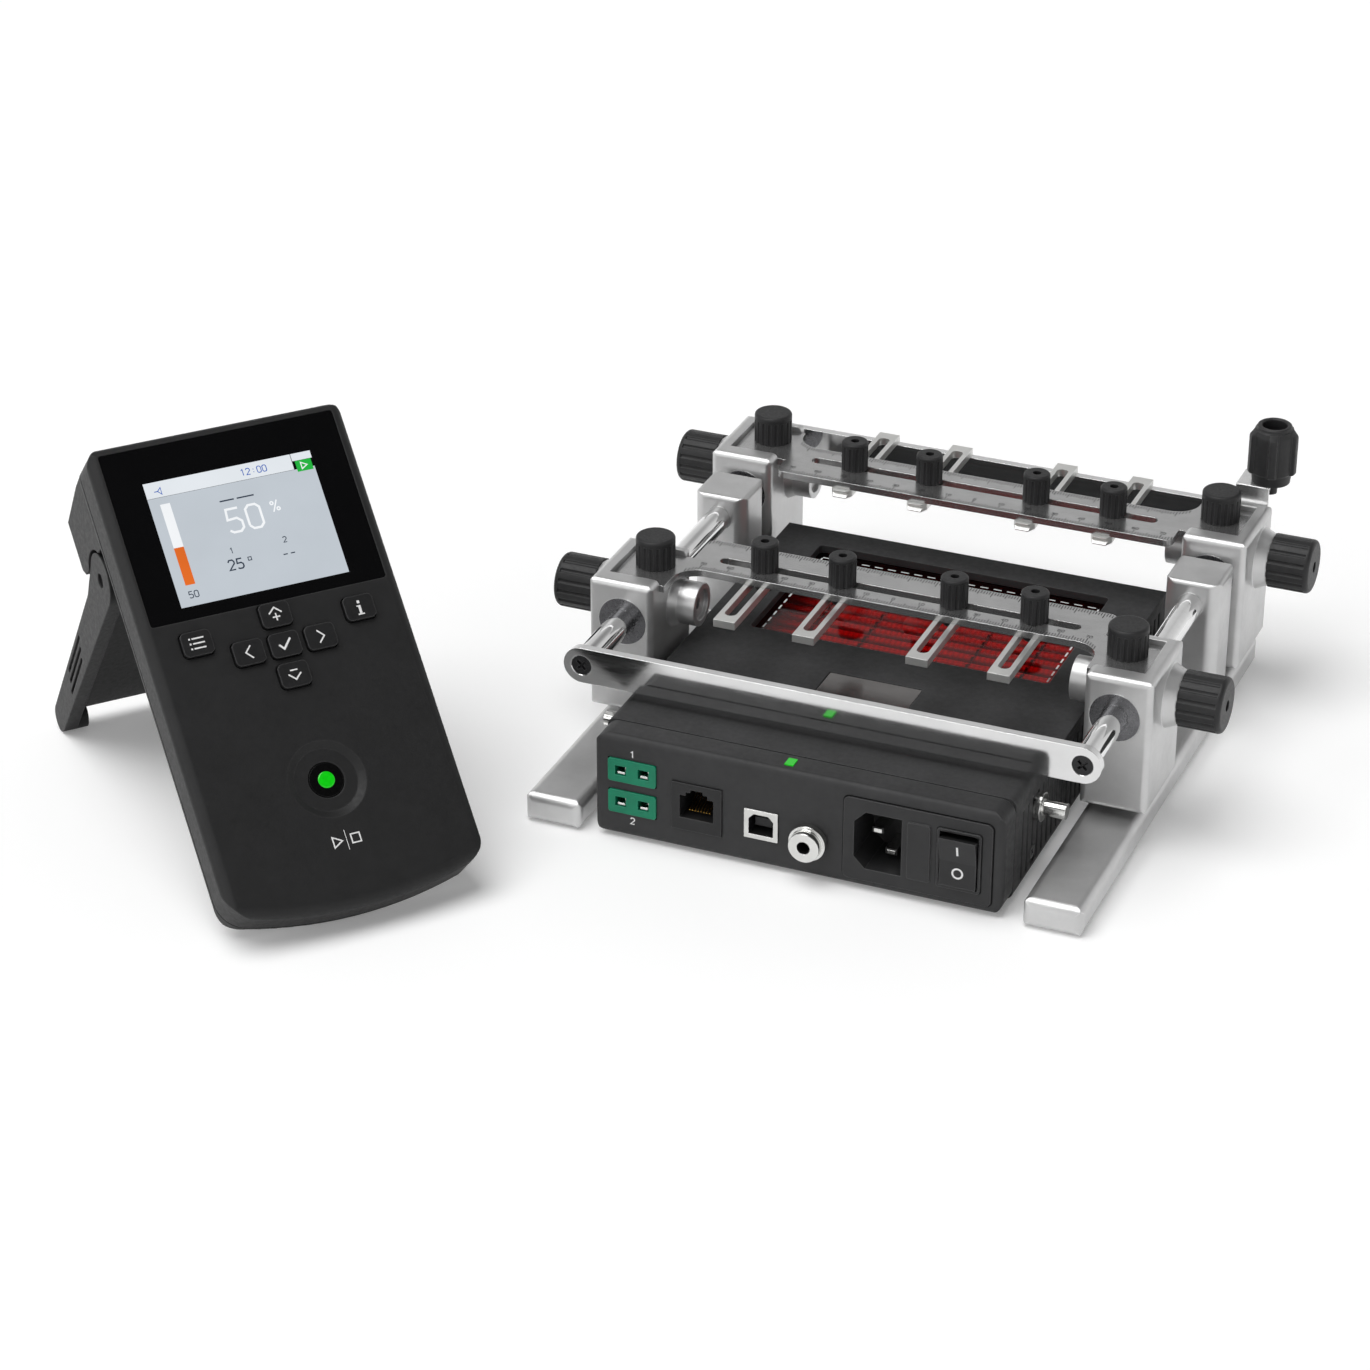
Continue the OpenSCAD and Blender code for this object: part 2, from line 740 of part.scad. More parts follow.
module side_frame() {
    difference() {
        union() {
            translate([rod_x, foot_front + foot_len / 2, 0])
                soft_block(foot_w, foot_len, foot_h, foot_r, foot_r);
            translate([rod_x, post_front + post_len / 2, foot_h / 2])
                soft_block(post_w, post_len, post_top - foot_h / 2, post_r, post_edge_r);
        }
        translate([rod_x, post_front - 1, rod_z]) rod_y(rod_d, post_len + 2);
    }
}

module side_frames() {
    color("silver") at_holder() both_sides() side_frame();
}

module guide_rods() {
    color("gainsboro") at_holder() both_sides()
        translate([rod_x, frame_front + tie_bar_t, rod_z]) rod_y(rod_d, frame_depth - 2 * tie_bar_t);
}

module tie_bar() {
    difference() {
        along_y(0, tie_bar_t) slot_shape(rod_span, tie_bar_h);
        for (x = [-rod_x, rod_x]) translate([x, 0, 0]) {
            translate([0, -1, 0]) rod_y(tie_hole_d, tie_bar_t + 2);
            translate([0, -eps, 0]) rotate([-90, 0, 0])
                cylinder(d1 = tie_sink_d, d2 = tie_hole_d, h = (tie_sink_d - tie_hole_d) / 2);
        }
    }
}

module tie_bars() {
    color("whitesmoke") at_holder() {
        translate([0, frame_front, rod_z]) tie_bar();
        translate([0, frame_back, rod_z]) mirror([0, 1, 0]) tie_bar();
    }
}

// Carriages: X as on the right side, Y = 0 on the front face

module carriage() {
    difference() {
        union() {
            translate([carriage_in + carriage_w / 2, carriage_len / 2, carriage_bottom])
                soft_block(carriage_w, carriage_len, carriage_top - carriage_bottom,
                    carriage_r, carriage_r);
            translate([carriage_in - boss_len, clamp_back, rod_z])
                rod_x_dir(boss_d, boss_len + carriage_r);
            translate([carriage_in - boss_root_len, clamp_back, rod_z]) rotate([0, 90, 0])
                cylinder(d1 = boss_d, d2 = boss_root_d, h = boss_root_len + eps);
            translate([carriage_out - eps, clamp_back, rod_z]) rotate([0, 90, 0])
                cylinder(d1 = flare_d, d2 = side_knob_d - 1, h = flare_len + eps);
        }
        translate([carriage_in - 1, pocket_front, plate_low])
            cube([carriage_w - pocket_side + 1, carriage_len - pocket_front - pocket_back,
                carriage_top - plate_low + 1]);
        translate([rod_x, -1, rod_z]) rod_y(rod_d + 2 * rod_room, carriage_len + 2);
        translate([rod_x, -1, rod_z]) rod_y(bushing_d, bushing_len + 1);
        translate([rod_x, carriage_len - bushing_len, rod_z]) rod_y(bushing_d, bushing_len + 1);
        translate([rod_x, clamp_back, rod_z])
            rod_x_dir(side_screw_d + 2 * run_gap, carriage_out + flare_len - rod_x + 1);
        translate([clamp_x, clamp_back, plate_low - top_screw_in - top_screw_room])
            cylinder(d = top_screw_d + 2 * run_gap, h = top_screw_in + top_screw_room + 1);
        translate([carriage_in - boss_len - 1, clamp_back, rod_z])
            rod_x_dir(boss_recess_d, boss_recess_cut + 1);
        translate([carriage_in - boss_len - 1, clamp_back, rod_z])
            rod_x_dir(boss_hole_d, boss_len + 1);
    }
}

module bushing() {
    difference() {
        rod_y(bushing_d, bushing_len);
        translate([0, -1, 0]) rod_y(rod_d + 2 * run_gap, bushing_len + 2);
    }
}

module carriage_bushings() {
    for (y = [0, carriage_len - bushing_len]) translate([rod_x, y, rod_z]) bushing();
}

module front_carriages() {
    color("lightgray") at_holder() translate([0, front_carriage_y, 0]) both_sides() carriage();
}

module front_bushings() {
    color("dimgray") at_holder() translate([0, front_carriage_y, 0]) both_sides() carriage_bushings();
}

module rear_carriages() {
    color("lightgray") at_holder() translate([0, rear_carriage_y, 0]) both_sides() carriage();
}

module rear_bushings() {
    color("dimgray") at_holder() translate([0, rear_carriage_y, 0]) both_sides() carriage_bushings();
}

// Ruler plate in its slot frame. Its end runs from tab_out to tab_in in the carriage's pocket.

module ruler(tab_out, tab_in) {
    translate([0, 0, plate_low]) linear_extrude(ruler_t) difference() {
        union() {
            translate([0, (ruler_outer + ruler_inner) / 2])
                round_rect(2 * ruler_half, ruler_w, ruler_corner);
            both_sides() {
                translate([ruler_half - ruler_w, ruler_outer])
                    square([tab_end - ruler_half + ruler_w, tab_in - ruler_outer]);
                translate([tab_start, tab_out]) square([tab_end - tab_start, tab_in - tab_out]);
                difference() {
                    translate([tab_start - ruler_fillet, ruler_outer - ruler_fillet])
                        square([ruler_fillet + eps, ruler_fillet + eps]);
                    translate([tab_start - ruler_fillet, ruler_outer - ruler_fillet])
                        circle(ruler_fillet);
                }
            }
        }
        slot_shape(2 * slot_half - slot_w, slot_w);
        for (x = [-clamp_x, clamp_x])
            translate([x, -slot_to_clamp]) circle(d = top_screw_d + 2 * seat_gap);
    }
}

module front_ruler() {
    color("silver") at_front_slot()
        ruler(front_carriage_y + pocket_front + seat_gap - front_slot_y,
            front_carriage_y + carriage_len - pocket_back - seat_gap - front_slot_y);
}

module rear_ruler() {
    color("silver") at_rear_slot()
        ruler(rear_slot_y - rear_carriage_y - carriage_len + pocket_back + seat_gap,
            rear_slot_y - rear_carriage_y - pocket_front - seat_gap);
}

// Finger in its slot frame: slotted strip with a notched jaw at the inner end

module finger(i) {
    tip = finger_len - finger_out;
    translate([finger_places[i], 0, finger_low]) difference() {
        linear_extrude(finger_t) difference() {
            polygon([
                [-finger_w / 2, -finger_out], [finger_w / 2, -finger_out],
                [finger_w / 2, tip - jaw_taper], [jaw_w / 2, tip],
                [-jaw_w / 2, tip], [-finger_w / 2, tip - jaw_taper]
            ]);
            translate([0, (finger_bar - finger_out + finger_slot_in) / 2]) rotate(90)
                slot_shape(finger_slot_in + finger_out - finger_bar - finger_slot_w, finger_slot_w);
        }
        translate([0, tip, finger_t / 2]) rotate([45, 0, 0])
            cube([2 * finger_w, jaw_depth * sqrt(2), jaw_depth * sqrt(2)], center = true);
    }
}

// Nut with its screw: grip above the ruler, screw through both slots, head under the finger

module nut(i) {
    low = finger_low - slide_gap - nut_head_t;
    translate([finger_places[i], 0, 0]) difference() {
        union() {
            translate([0, 0, plate_top + slide_gap]) fluted_grip(nut_d, nut_h, 12, 0.7, 0.8, 1.4);
            translate([0, 0, low]) cylinder(d = nut_screw_d, h = plate_top - low + 1);
            translate([0, 0, low]) cylinder(d = nut_head_d, h = nut_head_t);
        }
        translate([0, 0, plate_top + nut_h - nut_socket_cut])
            cylinder(d = nut_socket_d, h = nut_socket_cut + 1);
    }
}

module finger_front_1() { color("lightsteelblue") at_front_slot() finger(0); }
module finger_front_2() { color("lightsteelblue") at_front_slot() finger(1); }
module finger_front_3() { color("lightsteelblue") at_front_slot() finger(2); }
module finger_front_4() { color("lightsteelblue") at_front_slot() finger(3); }
module finger_rear_1() { color("lightsteelblue") at_rear_slot() finger(0); }
module finger_rear_2() { color("lightsteelblue") at_rear_slot() finger(1); }
module finger_rear_3() { color("lightsteelblue") at_rear_slot() finger(2); }
module finger_rear_4() { color("lightsteelblue") at_rear_slot() finger(3); }
module nut_front_1() { color("darkslategray") at_front_slot() nut(0); }
module nut_front_2() { color("darkslategray") at_front_slot() nut(1); }
module nut_front_3() { color("darkslategray") at_front_slot() nut(2); }
module nut_front_4() { color("darkslategray") at_front_slot() nut(3); }
module nut_rear_1() { color("darkslategray") at_rear_slot() nut(0); }
module nut_rear_2() { color("darkslategray") at_rear_slot() nut(1); }
module nut_rear_3() { color("darkslategray") at_rear_slot() nut(2); }
module nut_rear_4() { color("darkslategray") at_rear_slot() nut(3); }

// Knobs, as on the right side of a carriage with its clamp axis at Y = 0

module top_knob() {
    translate([clamp_x, 0, plate_top + slide_gap])
        fluted_grip(top_knob_d, top_knob_h - slide_gap, 18, 0.7, 1, 2.2);
    translate([clamp_x, 0, plate_low - top_screw_in])
        cylinder(d = top_screw_d, h = ruler_t + top_screw_in + 1);
}

module side_knob() {
    screw_end = rod_x + rod_d / 2 + screw_gap;
    difference() {
        union() {
            translate([side_knob_in, 0, rod_z]) rotate([0, 90, 0])
                fluted_grip(side_knob_d, side_knob_len, 16, 0.9, 1.6, 1.8);
            translate([screw_end, 0, rod_z]) rod_x_dir(side_screw_d, side_knob_in + 1 - screw_end);
        }
        translate([side_knob_in + side_knob_len - side_socket_cut, 0, rod_z])
            rod_x_dir(side_socket_d, side_socket_cut + 1);
    }
}

module top_knob_front_left() {
    color("dimgray") at_holder() translate([0, front_clamp_y, 0]) mirror([1, 0, 0]) top_knob();
}
module top_knob_front_right() {
    color("dimgray") at_holder() translate([0, front_clamp_y, 0]) top_knob();
}
module top_knob_rear_left() {
    color("dimgray") at_holder() translate([0, rear_clamp_y, 0]) mirror([1, 0, 0]) top_knob();
}
module top_knob_rear_right() {
    color("dimgray") at_holder() translate([0, rear_clamp_y, 0]) top_knob();
}
module side_knob_front_left() {
    color("dimgray") at_holder() translate([0, front_clamp_y, 0]) mirror([1, 0, 0]) side_knob();
}
module side_knob_front_right() {
    color("dimgray") at_holder() translate([0, front_clamp_y, 0]) side_knob();
}
module side_knob_rear_left() {
    color("dimgray") at_holder() translate([0, rear_clamp_y, 0]) mirror([1, 0, 0]) side_knob();
}
module side_knob_rear_right() {
    color("dimgray") at_holder() translate([0, rear_clamp_y, 0]) side_knob();
}

// Sensor holder on the rear right carriage

module sensor_bracket() {
    back = rear_carriage_y + carriage_len;
    left = carriage_out - carriage_r - bracket_w;
    color("silver") at_holder() difference() {
        union() {
            translate([left, back, bracket_z]) cube([bracket_w, bracket_t, bracket_top - bracket_z]);
            translate([left, back, bracket_top - bracket_t])
                cube([bracket_w, sensor_back + bracket_w / 2, bracket_t]);
        }
        translate([sensor_x, sensor_y, bracket_top - bracket_t - 1])
            cylinder(d = sensor_screw_d + 2 * run_gap, h = bracket_t + 2);
    }
}

module sensor_knob() {
    lobe_r = sensor_knob_d / 5;
    color("dimgray") at_holder() translate([sensor_x, sensor_y, 0]) {
        difference() {
            translate([0, 0, sensor_knob_z]) linear_extrude(sensor_knob_h) {
                circle(d = sensor_knob_d - lobe_r);
                for (i = [0:4]) rotate(90 + i * 72)
                    translate([sensor_knob_d / 2 - lobe_r, 0]) circle(lobe_r);
            }
            translate([0, 0, sensor_knob_z + sensor_knob_h / 2])
                cylinder(d = sensor_knob_d / 2, h = sensor_knob_h);
        }
        translate([0, 0, bracket_top - bracket_t - sensor_screw_out])
            cylinder(d = sensor_screw_d, h = bracket_t + sensor_screw_out + 1);
    }
}

// Heater

module lamp() {
    translate([lamp_x - lamp_w / 2, lamp_y - lamp_len / 2, nose_top - lamp_sink])
        cube([lamp_w, lamp_len, lamp_sink + lamp_h]);
}

// Joint between the panel cap and the housing: a narrow groove all round
module cap_groove() {
    mid = (heater_lift + nose_top) / 2;
    tall = nose_top - heater_lift;
    difference() {
        along_y(panel_len - eps, groove_w) translate([0, mid])
            square([2 * heater_w, 2 * tall], center = true);
        along_y(panel_len - 1, groove_w + 2) translate([0, mid])
            round_rect(heater_w - 2 * groove_d, tall - 2 * groove_d, heater_r);
    }
}

// Upright flutes in both side walls
module wall_flutes() {
    count = floor((heater_len - flute_end - flute_front) / flute_pitch);
    translate([0, 0, flute_low]) linear_extrude(cover_low - flute_end - flute_low)
        for (i = [0:count], x = [-1, 1])
            translate([x * (heater_half + flute_r - flute_d), flute_front + i * flute_pitch])
                circle(flute_r);
}

module heater_housing() {
    mid = (heater_lift + nose_top) / 2;
    color("dimgray") at_unit() difference() {
        intersection() {
            along_y(panel_len, heater_len - panel_len)
                translate([0, mid]) round_rect(heater_w, nose_top - heater_lift, heater_r);
            along_x(-heater_w, 2 * heater_w) polygon([
                [0, 0], [heater_len + 1, 0], [heater_len + 1, cover_low],
                [cover_front, cover_low], [cover_front, cover_top],
                [nose_len, nose_top], [nose_len, nose_top + 1], [0, nose_top + 1]
            ]);
        }
        translate([wall - heater_half, panel_len - 1, floor_z])
            cube([heater_w - 2 * wall, heater_len - wall - panel_len + 1, roof_z - floor_z]);
        translate([wall - heater_half, cover_front + cover_ledge, floor_z])
            cube([heater_w - 2 * wall, heater_len - wall - cover_front - cover_ledge, nose_top]);
        cap_groove();
        wall_flutes();
        along_x(heater_half - wall - 1, wall + 2) translate([lock_y, lock_z]) rotate(90)
            slot_shape(lock_h - lock_w, lock_w);
    }
}

module socket_hole(x, z, w, h) {
    translate([x, 0, z]) along_y(-1, panel_t + 2)
        square([w + 2 * socket_fit, h + 2 * socket_fit], center = true);
}

module front_panel() {
    mid = (heater_lift + nose_top) / 2;
    tall = nose_top - heater_lift;
    color("darkslategray") at_unit() difference() {
        intersection() {
            along_y(0, panel_len) translate([0, mid]) round_rect(heater_w, tall, panel_r);
            translate([0, panel_len, heater_lift]) linear_extrude(tall)
                round_rect(heater_w, 2 * panel_len, panel_edge_r);
            along_x(-heater_half, heater_w) translate([panel_len, mid])
                round_rect(2 * panel_len, tall, panel_edge_r);
        }
        translate([wall - heater_half, panel_t, floor_z])
            cube([heater_w - 2 * wall, panel_len, roof_z - floor_z]);
        for (z = [tc_z_top, tc_z_low]) socket_hole(tc_x, z, tc_w, tc_h);
        socket_hole(net_x, net_z, net_w, net_h);
        socket_hole(data_x, data_z, data_w, data_h);
        translate([jack_x, -1, jack_z]) rod_y(jack_barrel_d + 2 * socket_fit, panel_t + 2);
        socket_hole(inlet_x, inlet_z, inlet_w - inlet_lip, inlet_h - inlet_lip);
        lamp();
    }
}

module window_plan(grow) {
    translate([0, window_mid])
        round_rect(2 * window_half + 2 * grow, window_len + 2 * grow, 2 + grow / 2);
}

module top_cover() {
    color("dimgray") at_unit() difference() {
        union() {
            translate([0, (cover_front + heater_len) / 2, cover_low]) linear_extrude(cover_t)
                square([heater_w, heater_len - cover_front], center = true);
            translate([0, 0, glass_top]) linear_extrude(cover_low - glass_top + eps)
                window_plan(glass_lap);
        }
        translate([0, 0, glass_top - 1]) linear_extrude(glass_drop + 2) window_plan(0);
        translate([0, inset_front + inset_len / 2, cover_top - inset_cut])
            linear_extrude(inset_cut + 1) round_rect(2 * inset_half, inset_len, 1);
    }
}

module window_glass() {
    color("firebrick") at_unit() translate([0, 0, glass_low])
        linear_extrude(glass_t) window_plan(glass_lap);
}

module tubes(d) {
    room = window_len + 2 * glass_lap - 2 * tray_t;
    pitch = room / tube_count;
    reach = window_half + glass_lap;
    for (i = [0:tube_count - 1])
        translate([-reach, window_mid - room / 2 + (i + 0.5) * pitch, glass_low - tray_depth / 2])
            rod_x_dir(d, 2 * reach);
}

module ir_emitters() {
    color("darkred") at_unit() tubes(tube_d);
}

module reflector_tray() {
    w = 2 * (window_half + glass_lap);
    d = window_len + 2 * glass_lap;
    reflector_z = glass_low - tray_depth;
    color("silver") at_unit() difference() {
        translate([-w / 2, window_mid - d / 2, floor_z]) cube([w, d, glass_low - floor_z]);
        difference() {
            translate([tray_t - w / 2, window_mid - d / 2 + tray_t, reflector_z])
                cube([w - 2 * tray_t, d - 2 * tray_t, tray_depth + 1]);
            for (i = [-2:2])
                translate([i * support_pitch - support_t / 2, window_mid - d / 2, reflector_z - 1])
                    cube([support_t, d, (tray_depth - tube_d) / 2 + 1 - support_drop]);
        }
        translate([tray_t - w / 2, window_mid - d / 2 + tray_t, floor_z - 1])
            cube([w - 2 * tray_t, d - 2 * tray_t, reflector_z - tray_t - floor_z + 1]);
        tubes(tube_d);
    }
}

module tc_socket(z) {
    difference() {
        translate([tc_x, 0, z]) along_y(-socket_out, tc_len + socket_out) round_rect(tc_w, tc_h, 1);
        for (x = [-tc_w / 4.2, tc_w / 4.2]) translate([tc_x + x, 0, z])
            along_y(-1, tc_len - 2) square([tc_w / 4.4, tc_h / 2.4], center = true);
    }
}

module thermocouple_sockets() {
    color("green") at_unit() for (z = [tc_z_top, tc_z_low]) tc_socket(z);
}

module net_socket() {
    difference() {
        translate([net_x, 0, net_z]) along_y(-socket_out, net_hole_len + 2 + socket_out)
            square([net_w, net_h], center = true);
        translate([net_x, 0, net_z]) along_y(-1, net_hole_len + 1)
            square([net_hole_w, net_hole_h], center = true);
        translate([net_x, 0, net_z + net_hole_h / 2]) along_y(-1, net_hole_len + 1) {
            square([net_hole_w * 0.64, net_hole_h / 3], center = true);
            square([net_hole_w * 0.36, net_hole_h * 0.62], center = true);
        }
    }
}

module data_socket() {
    wide = (data_w - data_wall) / 2;
    high = (data_h - data_wall) / 2;
    difference() {
        translate([data_x, 0, data_z]) along_y(-socket_out, data_len + socket_out)
            square([data_w, data_h], center = true);
        difference() {
            translate([data_x, 0, data_z]) along_y(-1, data_len - 1) polygon([
                [-wide, -high], [wide, -high], [wide, high - data_cut],
                [wide - data_cut, high], [data_cut - wide, high], [-wide, high - data_cut]
            ]);
            translate([data_x, 0, data_z]) along_y(data_tongue_back, data_len)
                square([data_w / 2, data_h / 3.4], center = true);
        }
    }
}

module pedal_jack() {
    translate([jack_x, 0, jack_z]) difference() {
        union() {
            translate([0, -jack_nut_t, 0]) rod_y(jack_nut_d, jack_nut_t);
            translate([0, -jack_out, 0]) rod_y(jack_collar_d, jack_out);
            translate([0, -eps, 0]) rod_y(jack_barrel_d, jack_len);
        }
        translate([0, -jack_out - 1, 0]) rod_y(jack_bore, jack_bore_len + jack_out + 1);
    }
}

module signal_sockets() {
    color("silver") at_unit() {
        net_socket();
        data_socket();
        pedal_jack();
    }
}

// Power inlet in its own frame, the panel's face at Y = 0

module mains_pin(x, z) {
    translate([mains_x + x, mains_len - inlet_t - mains_pin_len, z])
        along_y(0, mains_pin_len + 1) square([mains_pin_w, mains_pin_t], center = true);
}

module power_inlet() {
    color("black") at_unit() translate([inlet_x, 0, inlet_z]) {
        difference() {
            union() {
                along_y(-inlet_t, inlet_t) round_rect(inlet_w, inlet_h, 2);
                along_y(-eps, inlet_body_len)
                    square([inlet_w - inlet_lip, inlet_h - inlet_lip], center = true);
                translate([fuse_x, 0, 0]) along_y(-inlet_t - socket_out, inlet_t + socket_out)
                    round_rect(fuse_w, mains_h, 0.8);
                translate([switch_x, 0, 0]) along_y(-inlet_t - socket_out, inlet_t + socket_out)
                    round_rect(rocker_w + 2 * rocker_room + 2 * bezel_w,
                        rocker_h + 2 * rocker_end + 2 * bezel_w, 1);
            }
            translate([mains_x, 0, 0]) along_y(-inlet_t - 1, mains_len + 1) polygon([
                [mains_w / 2, mains_h / 2], [mains_cut - mains_w / 2, mains_h / 2],
                [-mains_w / 2, mains_h / 2 - mains_cut], [-mains_w / 2, mains_cut - mains_h / 2],
                [mains_cut - mains_w / 2, -mains_h / 2], [mains_w / 2, -mains_h / 2]
            ]);
            translate([switch_x, 0, 0]) along_y(-inlet_t - 2, rocker_well + inlet_t + 2)
                square([rocker_w + 2 * rocker_room, rocker_h + 2 * rocker_end], center = true);
            translate([switch_x - rocker_shaft / 2 - run_gap, rocker_pivot_y, 0])
                rod_x_dir(rocker_pin_d + 2 * run_gap, rocker_shaft + 2 * run_gap);
        }
        mains_pin(mains_w / 8, -mains_h / 3);
        mains_pin(mains_w / 8, mains_h / 3);
        mains_pin(-mains_w / 6, 0);
    }
}

module rocker_switch() {
    color("black") at_unit() translate([inlet_x + switch_x, rocker_pivot_y, inlet_z])
        rotate([rocker_swing, 0, 0]) {
            along_x(-rocker_w / 2, rocker_w) polygon([
                [-rocker_front, rocker_h / 2], [-rocker_front + rocker_dip, 0],
                [-rocker_front, -rocker_h / 2], [rocker_deep, -rocker_h / 2 + rocker_deep],
                [rocker_deep, rocker_h / 2 - rocker_deep]
            ]);
            translate([-rocker_shaft / 2, 0, 0]) rod_x_dir(rocker_pin_d, rocker_shaft);
        }
}

module indicator_lamp() {
    color("limegreen") at_unit() lamp();
}

module side_pins() {
    color("silver") at_unit() both_sides() translate([heater_half, pin_y, pin_z]) {
        rod_x_dir(pin_flange_d, pin_flange_t);
        rod_x_dir(pin_d, pin_len);
    }
}

module heater_feet() {
    x_pad = heater_half - pad_in;
    color("black") at_unit() for (x = [-x_pad, x_pad], y = [panel_len + pad_in, heater_len - pad_in])
        translate([x, y, 0]) cylinder(d = pad_d, h = heater_lift);
}

// Console, in its own frame

// Face outline, drawn in by the given inset: curved lower edge, round corners, straight sides
module console_plan(inset) {
    side = console_w / 2 - inset;
    top = console_h - console_r;
    translate([-side, console_low_v]) square([2 * side, top - console_low_v]);
    translate([console_r - console_w / 2, console_low_v])
        square([console_w - 2 * console_r, console_h - inset - console_low_v]);
    for (x = [-1, 1]) {
        translate([x * console_low_u, console_low_v]) circle(console_low_r - inset);
        translate([x * (console_w / 2 - console_r), top]) circle(console_r - inset);
    }
    intersection() {
        translate([0, console_sweep]) circle(console_sweep - inset, $fn = 240);
        translate([0, console_sweep]) polygon([
            [0, 0], [-2 * console_low_u, 2 * (console_low_v - console_sweep)],
            [2 * console_low_u, 2 * (console_low_v - console_sweep)]
        ]);
    }
}

// Disc as thick as the console with rounded edges, standing on Z = 0
module soft_disc(r) {
    rim = r - console_edge_r;
    rotate_extrude() {
        square([rim, console_t]);
        translate([0, console_edge_r]) square([r, console_t - 2 * console_edge_r]);
        translate([rim, console_edge_r]) circle(console_edge_r);
        translate([rim, console_t - console_edge_r]) circle(console_edge_r);
    }
}

module console_outer() {
    mid = -console_t / 2;
    intersection() {
        translate([0, 0, -console_t]) linear_extrude(console_t) console_plan(0);
        along_y(-1, console_h + 2) translate([0, mid])
            round_rect(console_w, console_t, console_edge_r);
        along_x(-console_w, 2 * console_w) translate([0, mid])
            round_rect(2 * console_h, console_t, console_edge_r);
        translate([0, console_sweep, -console_t]) soft_disc(console_sweep, $fn = 240);
    }
}

// Narrow step in the back shell where it meets the front shell
module shell_joint() {
    difference() {
        translate([-console_w, -console_h, face_low - joint_w])
            cube([2 * console_w, 3 * console_h, joint_w + eps]);
        translate([0, 0, face_low - 1]) linear_extrude(2) console_plan(joint_d);
    }
}

module console_inside() {
    low = console_low_v - console_low_r / 2;
    translate([0, (low + console_h - console_wall) / 2, 0])
        round_rect(console_w - 2 * console_wall - 1, console_h - console_wall - low,
            console_r - console_wall);
}

// Key places on the face: across, up
function key_place(name) =
    name == "menu" ? [-key_side_u, key_side_v] :
    name == "info" ? [key_side_u, key_side_v] :
    name == "up" ? [0, key_v + key_pitch_v] :
    name == "down" ? [0, key_v - key_pitch_v] :
    name == "left" ? [-key_pitch_u, key_v] :
    name == "right" ? [key_pitch_u, key_v] : [0, key_v];

module console_face() {
    color("dimgray") at_console() difference() {
        intersection() {
            console_outer();
            translate([-console_w, -1, face_low]) cube([2 * console_w, 2 * console_h, face_t + 1]);
        }
        translate([0, 0, face_low - 1]) linear_extrude(face_t + 1 - console_wall) console_inside();
        translate([0, screen_window_v, -screen_window_t]) linear_extrude(screen_window_t + 1)
            round_rect(screen_window_w, screen_window_h, 1);
        translate([0, screen_v, -console_wall - 1]) linear_extrude(console_wall + 1)
            square([screen_w + 2 * seat_gap, screen_h + 2 * seat_gap], center = true);
        for (name = ["menu", "info", "up", "down", "left", "right", "ok"])
            translate(concat(key_place(name), [-console_wall - 1])) linear_extrude(console_wall + 2)
                round_rect(key_w + 2 * key_room, key_h + 2 * key_room, 2);
        translate([0, start_v, -dish_cut]) cylinder(d1 = dish_d - 5, d2 = dish_d, h = dish_cut + eps);
        translate([0, start_v, -console_wall - 1])
            cylinder(d = start_d + 2 * key_room, h = console_wall + 2);
    }
}

module hinge_bar(d, length) {
    translate([-length / 2, hinge_v, hinge_w]) rod_x_dir(d, length);
}

// Deep head behind the display: its sides are flush, with a round notch for the stand
module console_head() {
    rear = console_back_w - head_d;
    difference() {
        intersection() {
            along_x(seat_gap - console_w / 2, console_w - 2 * seat_gap) polygon([
                [head_v, face_low], [head_v, rear + head_bevel], [head_v + head_bevel, rear],
                [head_v + head_h, rear], [console_h - head_bevel, face_low]
            ]);
            translate([0, 0, rear]) linear_extrude(head_d + console_t) console_plan(0);
        }
        hinge_bar(2 * stand_top_r + 2 * stand_room, 2 * console_w);
    }
}

module console_back() {
    inner_w = stand_w - 2 * stand_side_t - 2 * seat_gap;
    color("dimgray") at_console() difference() {
        union() {
            intersection() {
                console_outer();
                translate([-console_w, -1, -console_t - 1])
                    cube([2 * console_w, 2 * console_h, console_t + 1 + face_low]);
            }
            console_head();
            along_x(-inner_w / 2, inner_w) polygon([
                [hinge_v - hinge_barrel_d / 4, hinge_w],
                [hinge_v - hinge_barrel_d / 4, console_back_w + 1],
                [hinge_v + stand_top_r + 2, console_back_w + 1],
                [hinge_v + stand_top_r + 2, hinge_w]
            ]);
            hinge_bar(hinge_barrel_d, inner_w);
            hinge_bar(hinge_pin_d, stand_w - 2);
        }
        translate([0, 0, -console_t + console_wall]) linear_extrude(console_t) console_inside();
        shell_joint();
    }
}

module console_display() {
    color("black") at_console() {
        translate([0, screen_window_v, -screen_window_t]) linear_extrude(screen_window_t - screen_sunk)
            round_rect(screen_window_w - 2 * seat_gap, screen_window_h - 2 * seat_gap, 1);
        translate([0, screen_v, -screen_window_t - screen_deep]) linear_extrude(screen_deep + eps)
            square([screen_w, screen_h], center = true);
    }
}

module key(name) {
    color("dimgray") at_console() translate(key_place(name)) {
        translate([0, 0, -console_wall - slide_gap - eps])
            linear_extrude(console_wall + slide_gap + key_out) round_rect(key_w, key_h, 1.8);
        translate([0, 0, -console_wall - slide_gap - key_lip_t]) linear_extrude(key_lip_t)
            round_rect(key_w + 2 * key_lip, key_h + 2 * key_lip, 2);
    }
}

module key_menu() { key("menu"); }
module key_up() { key("up"); }
module key_left() { key("left"); }
module key_ok() { key("ok"); }
module key_right() { key("right"); }
module key_down() { key("down"); }
module key_info() { key("info"); }

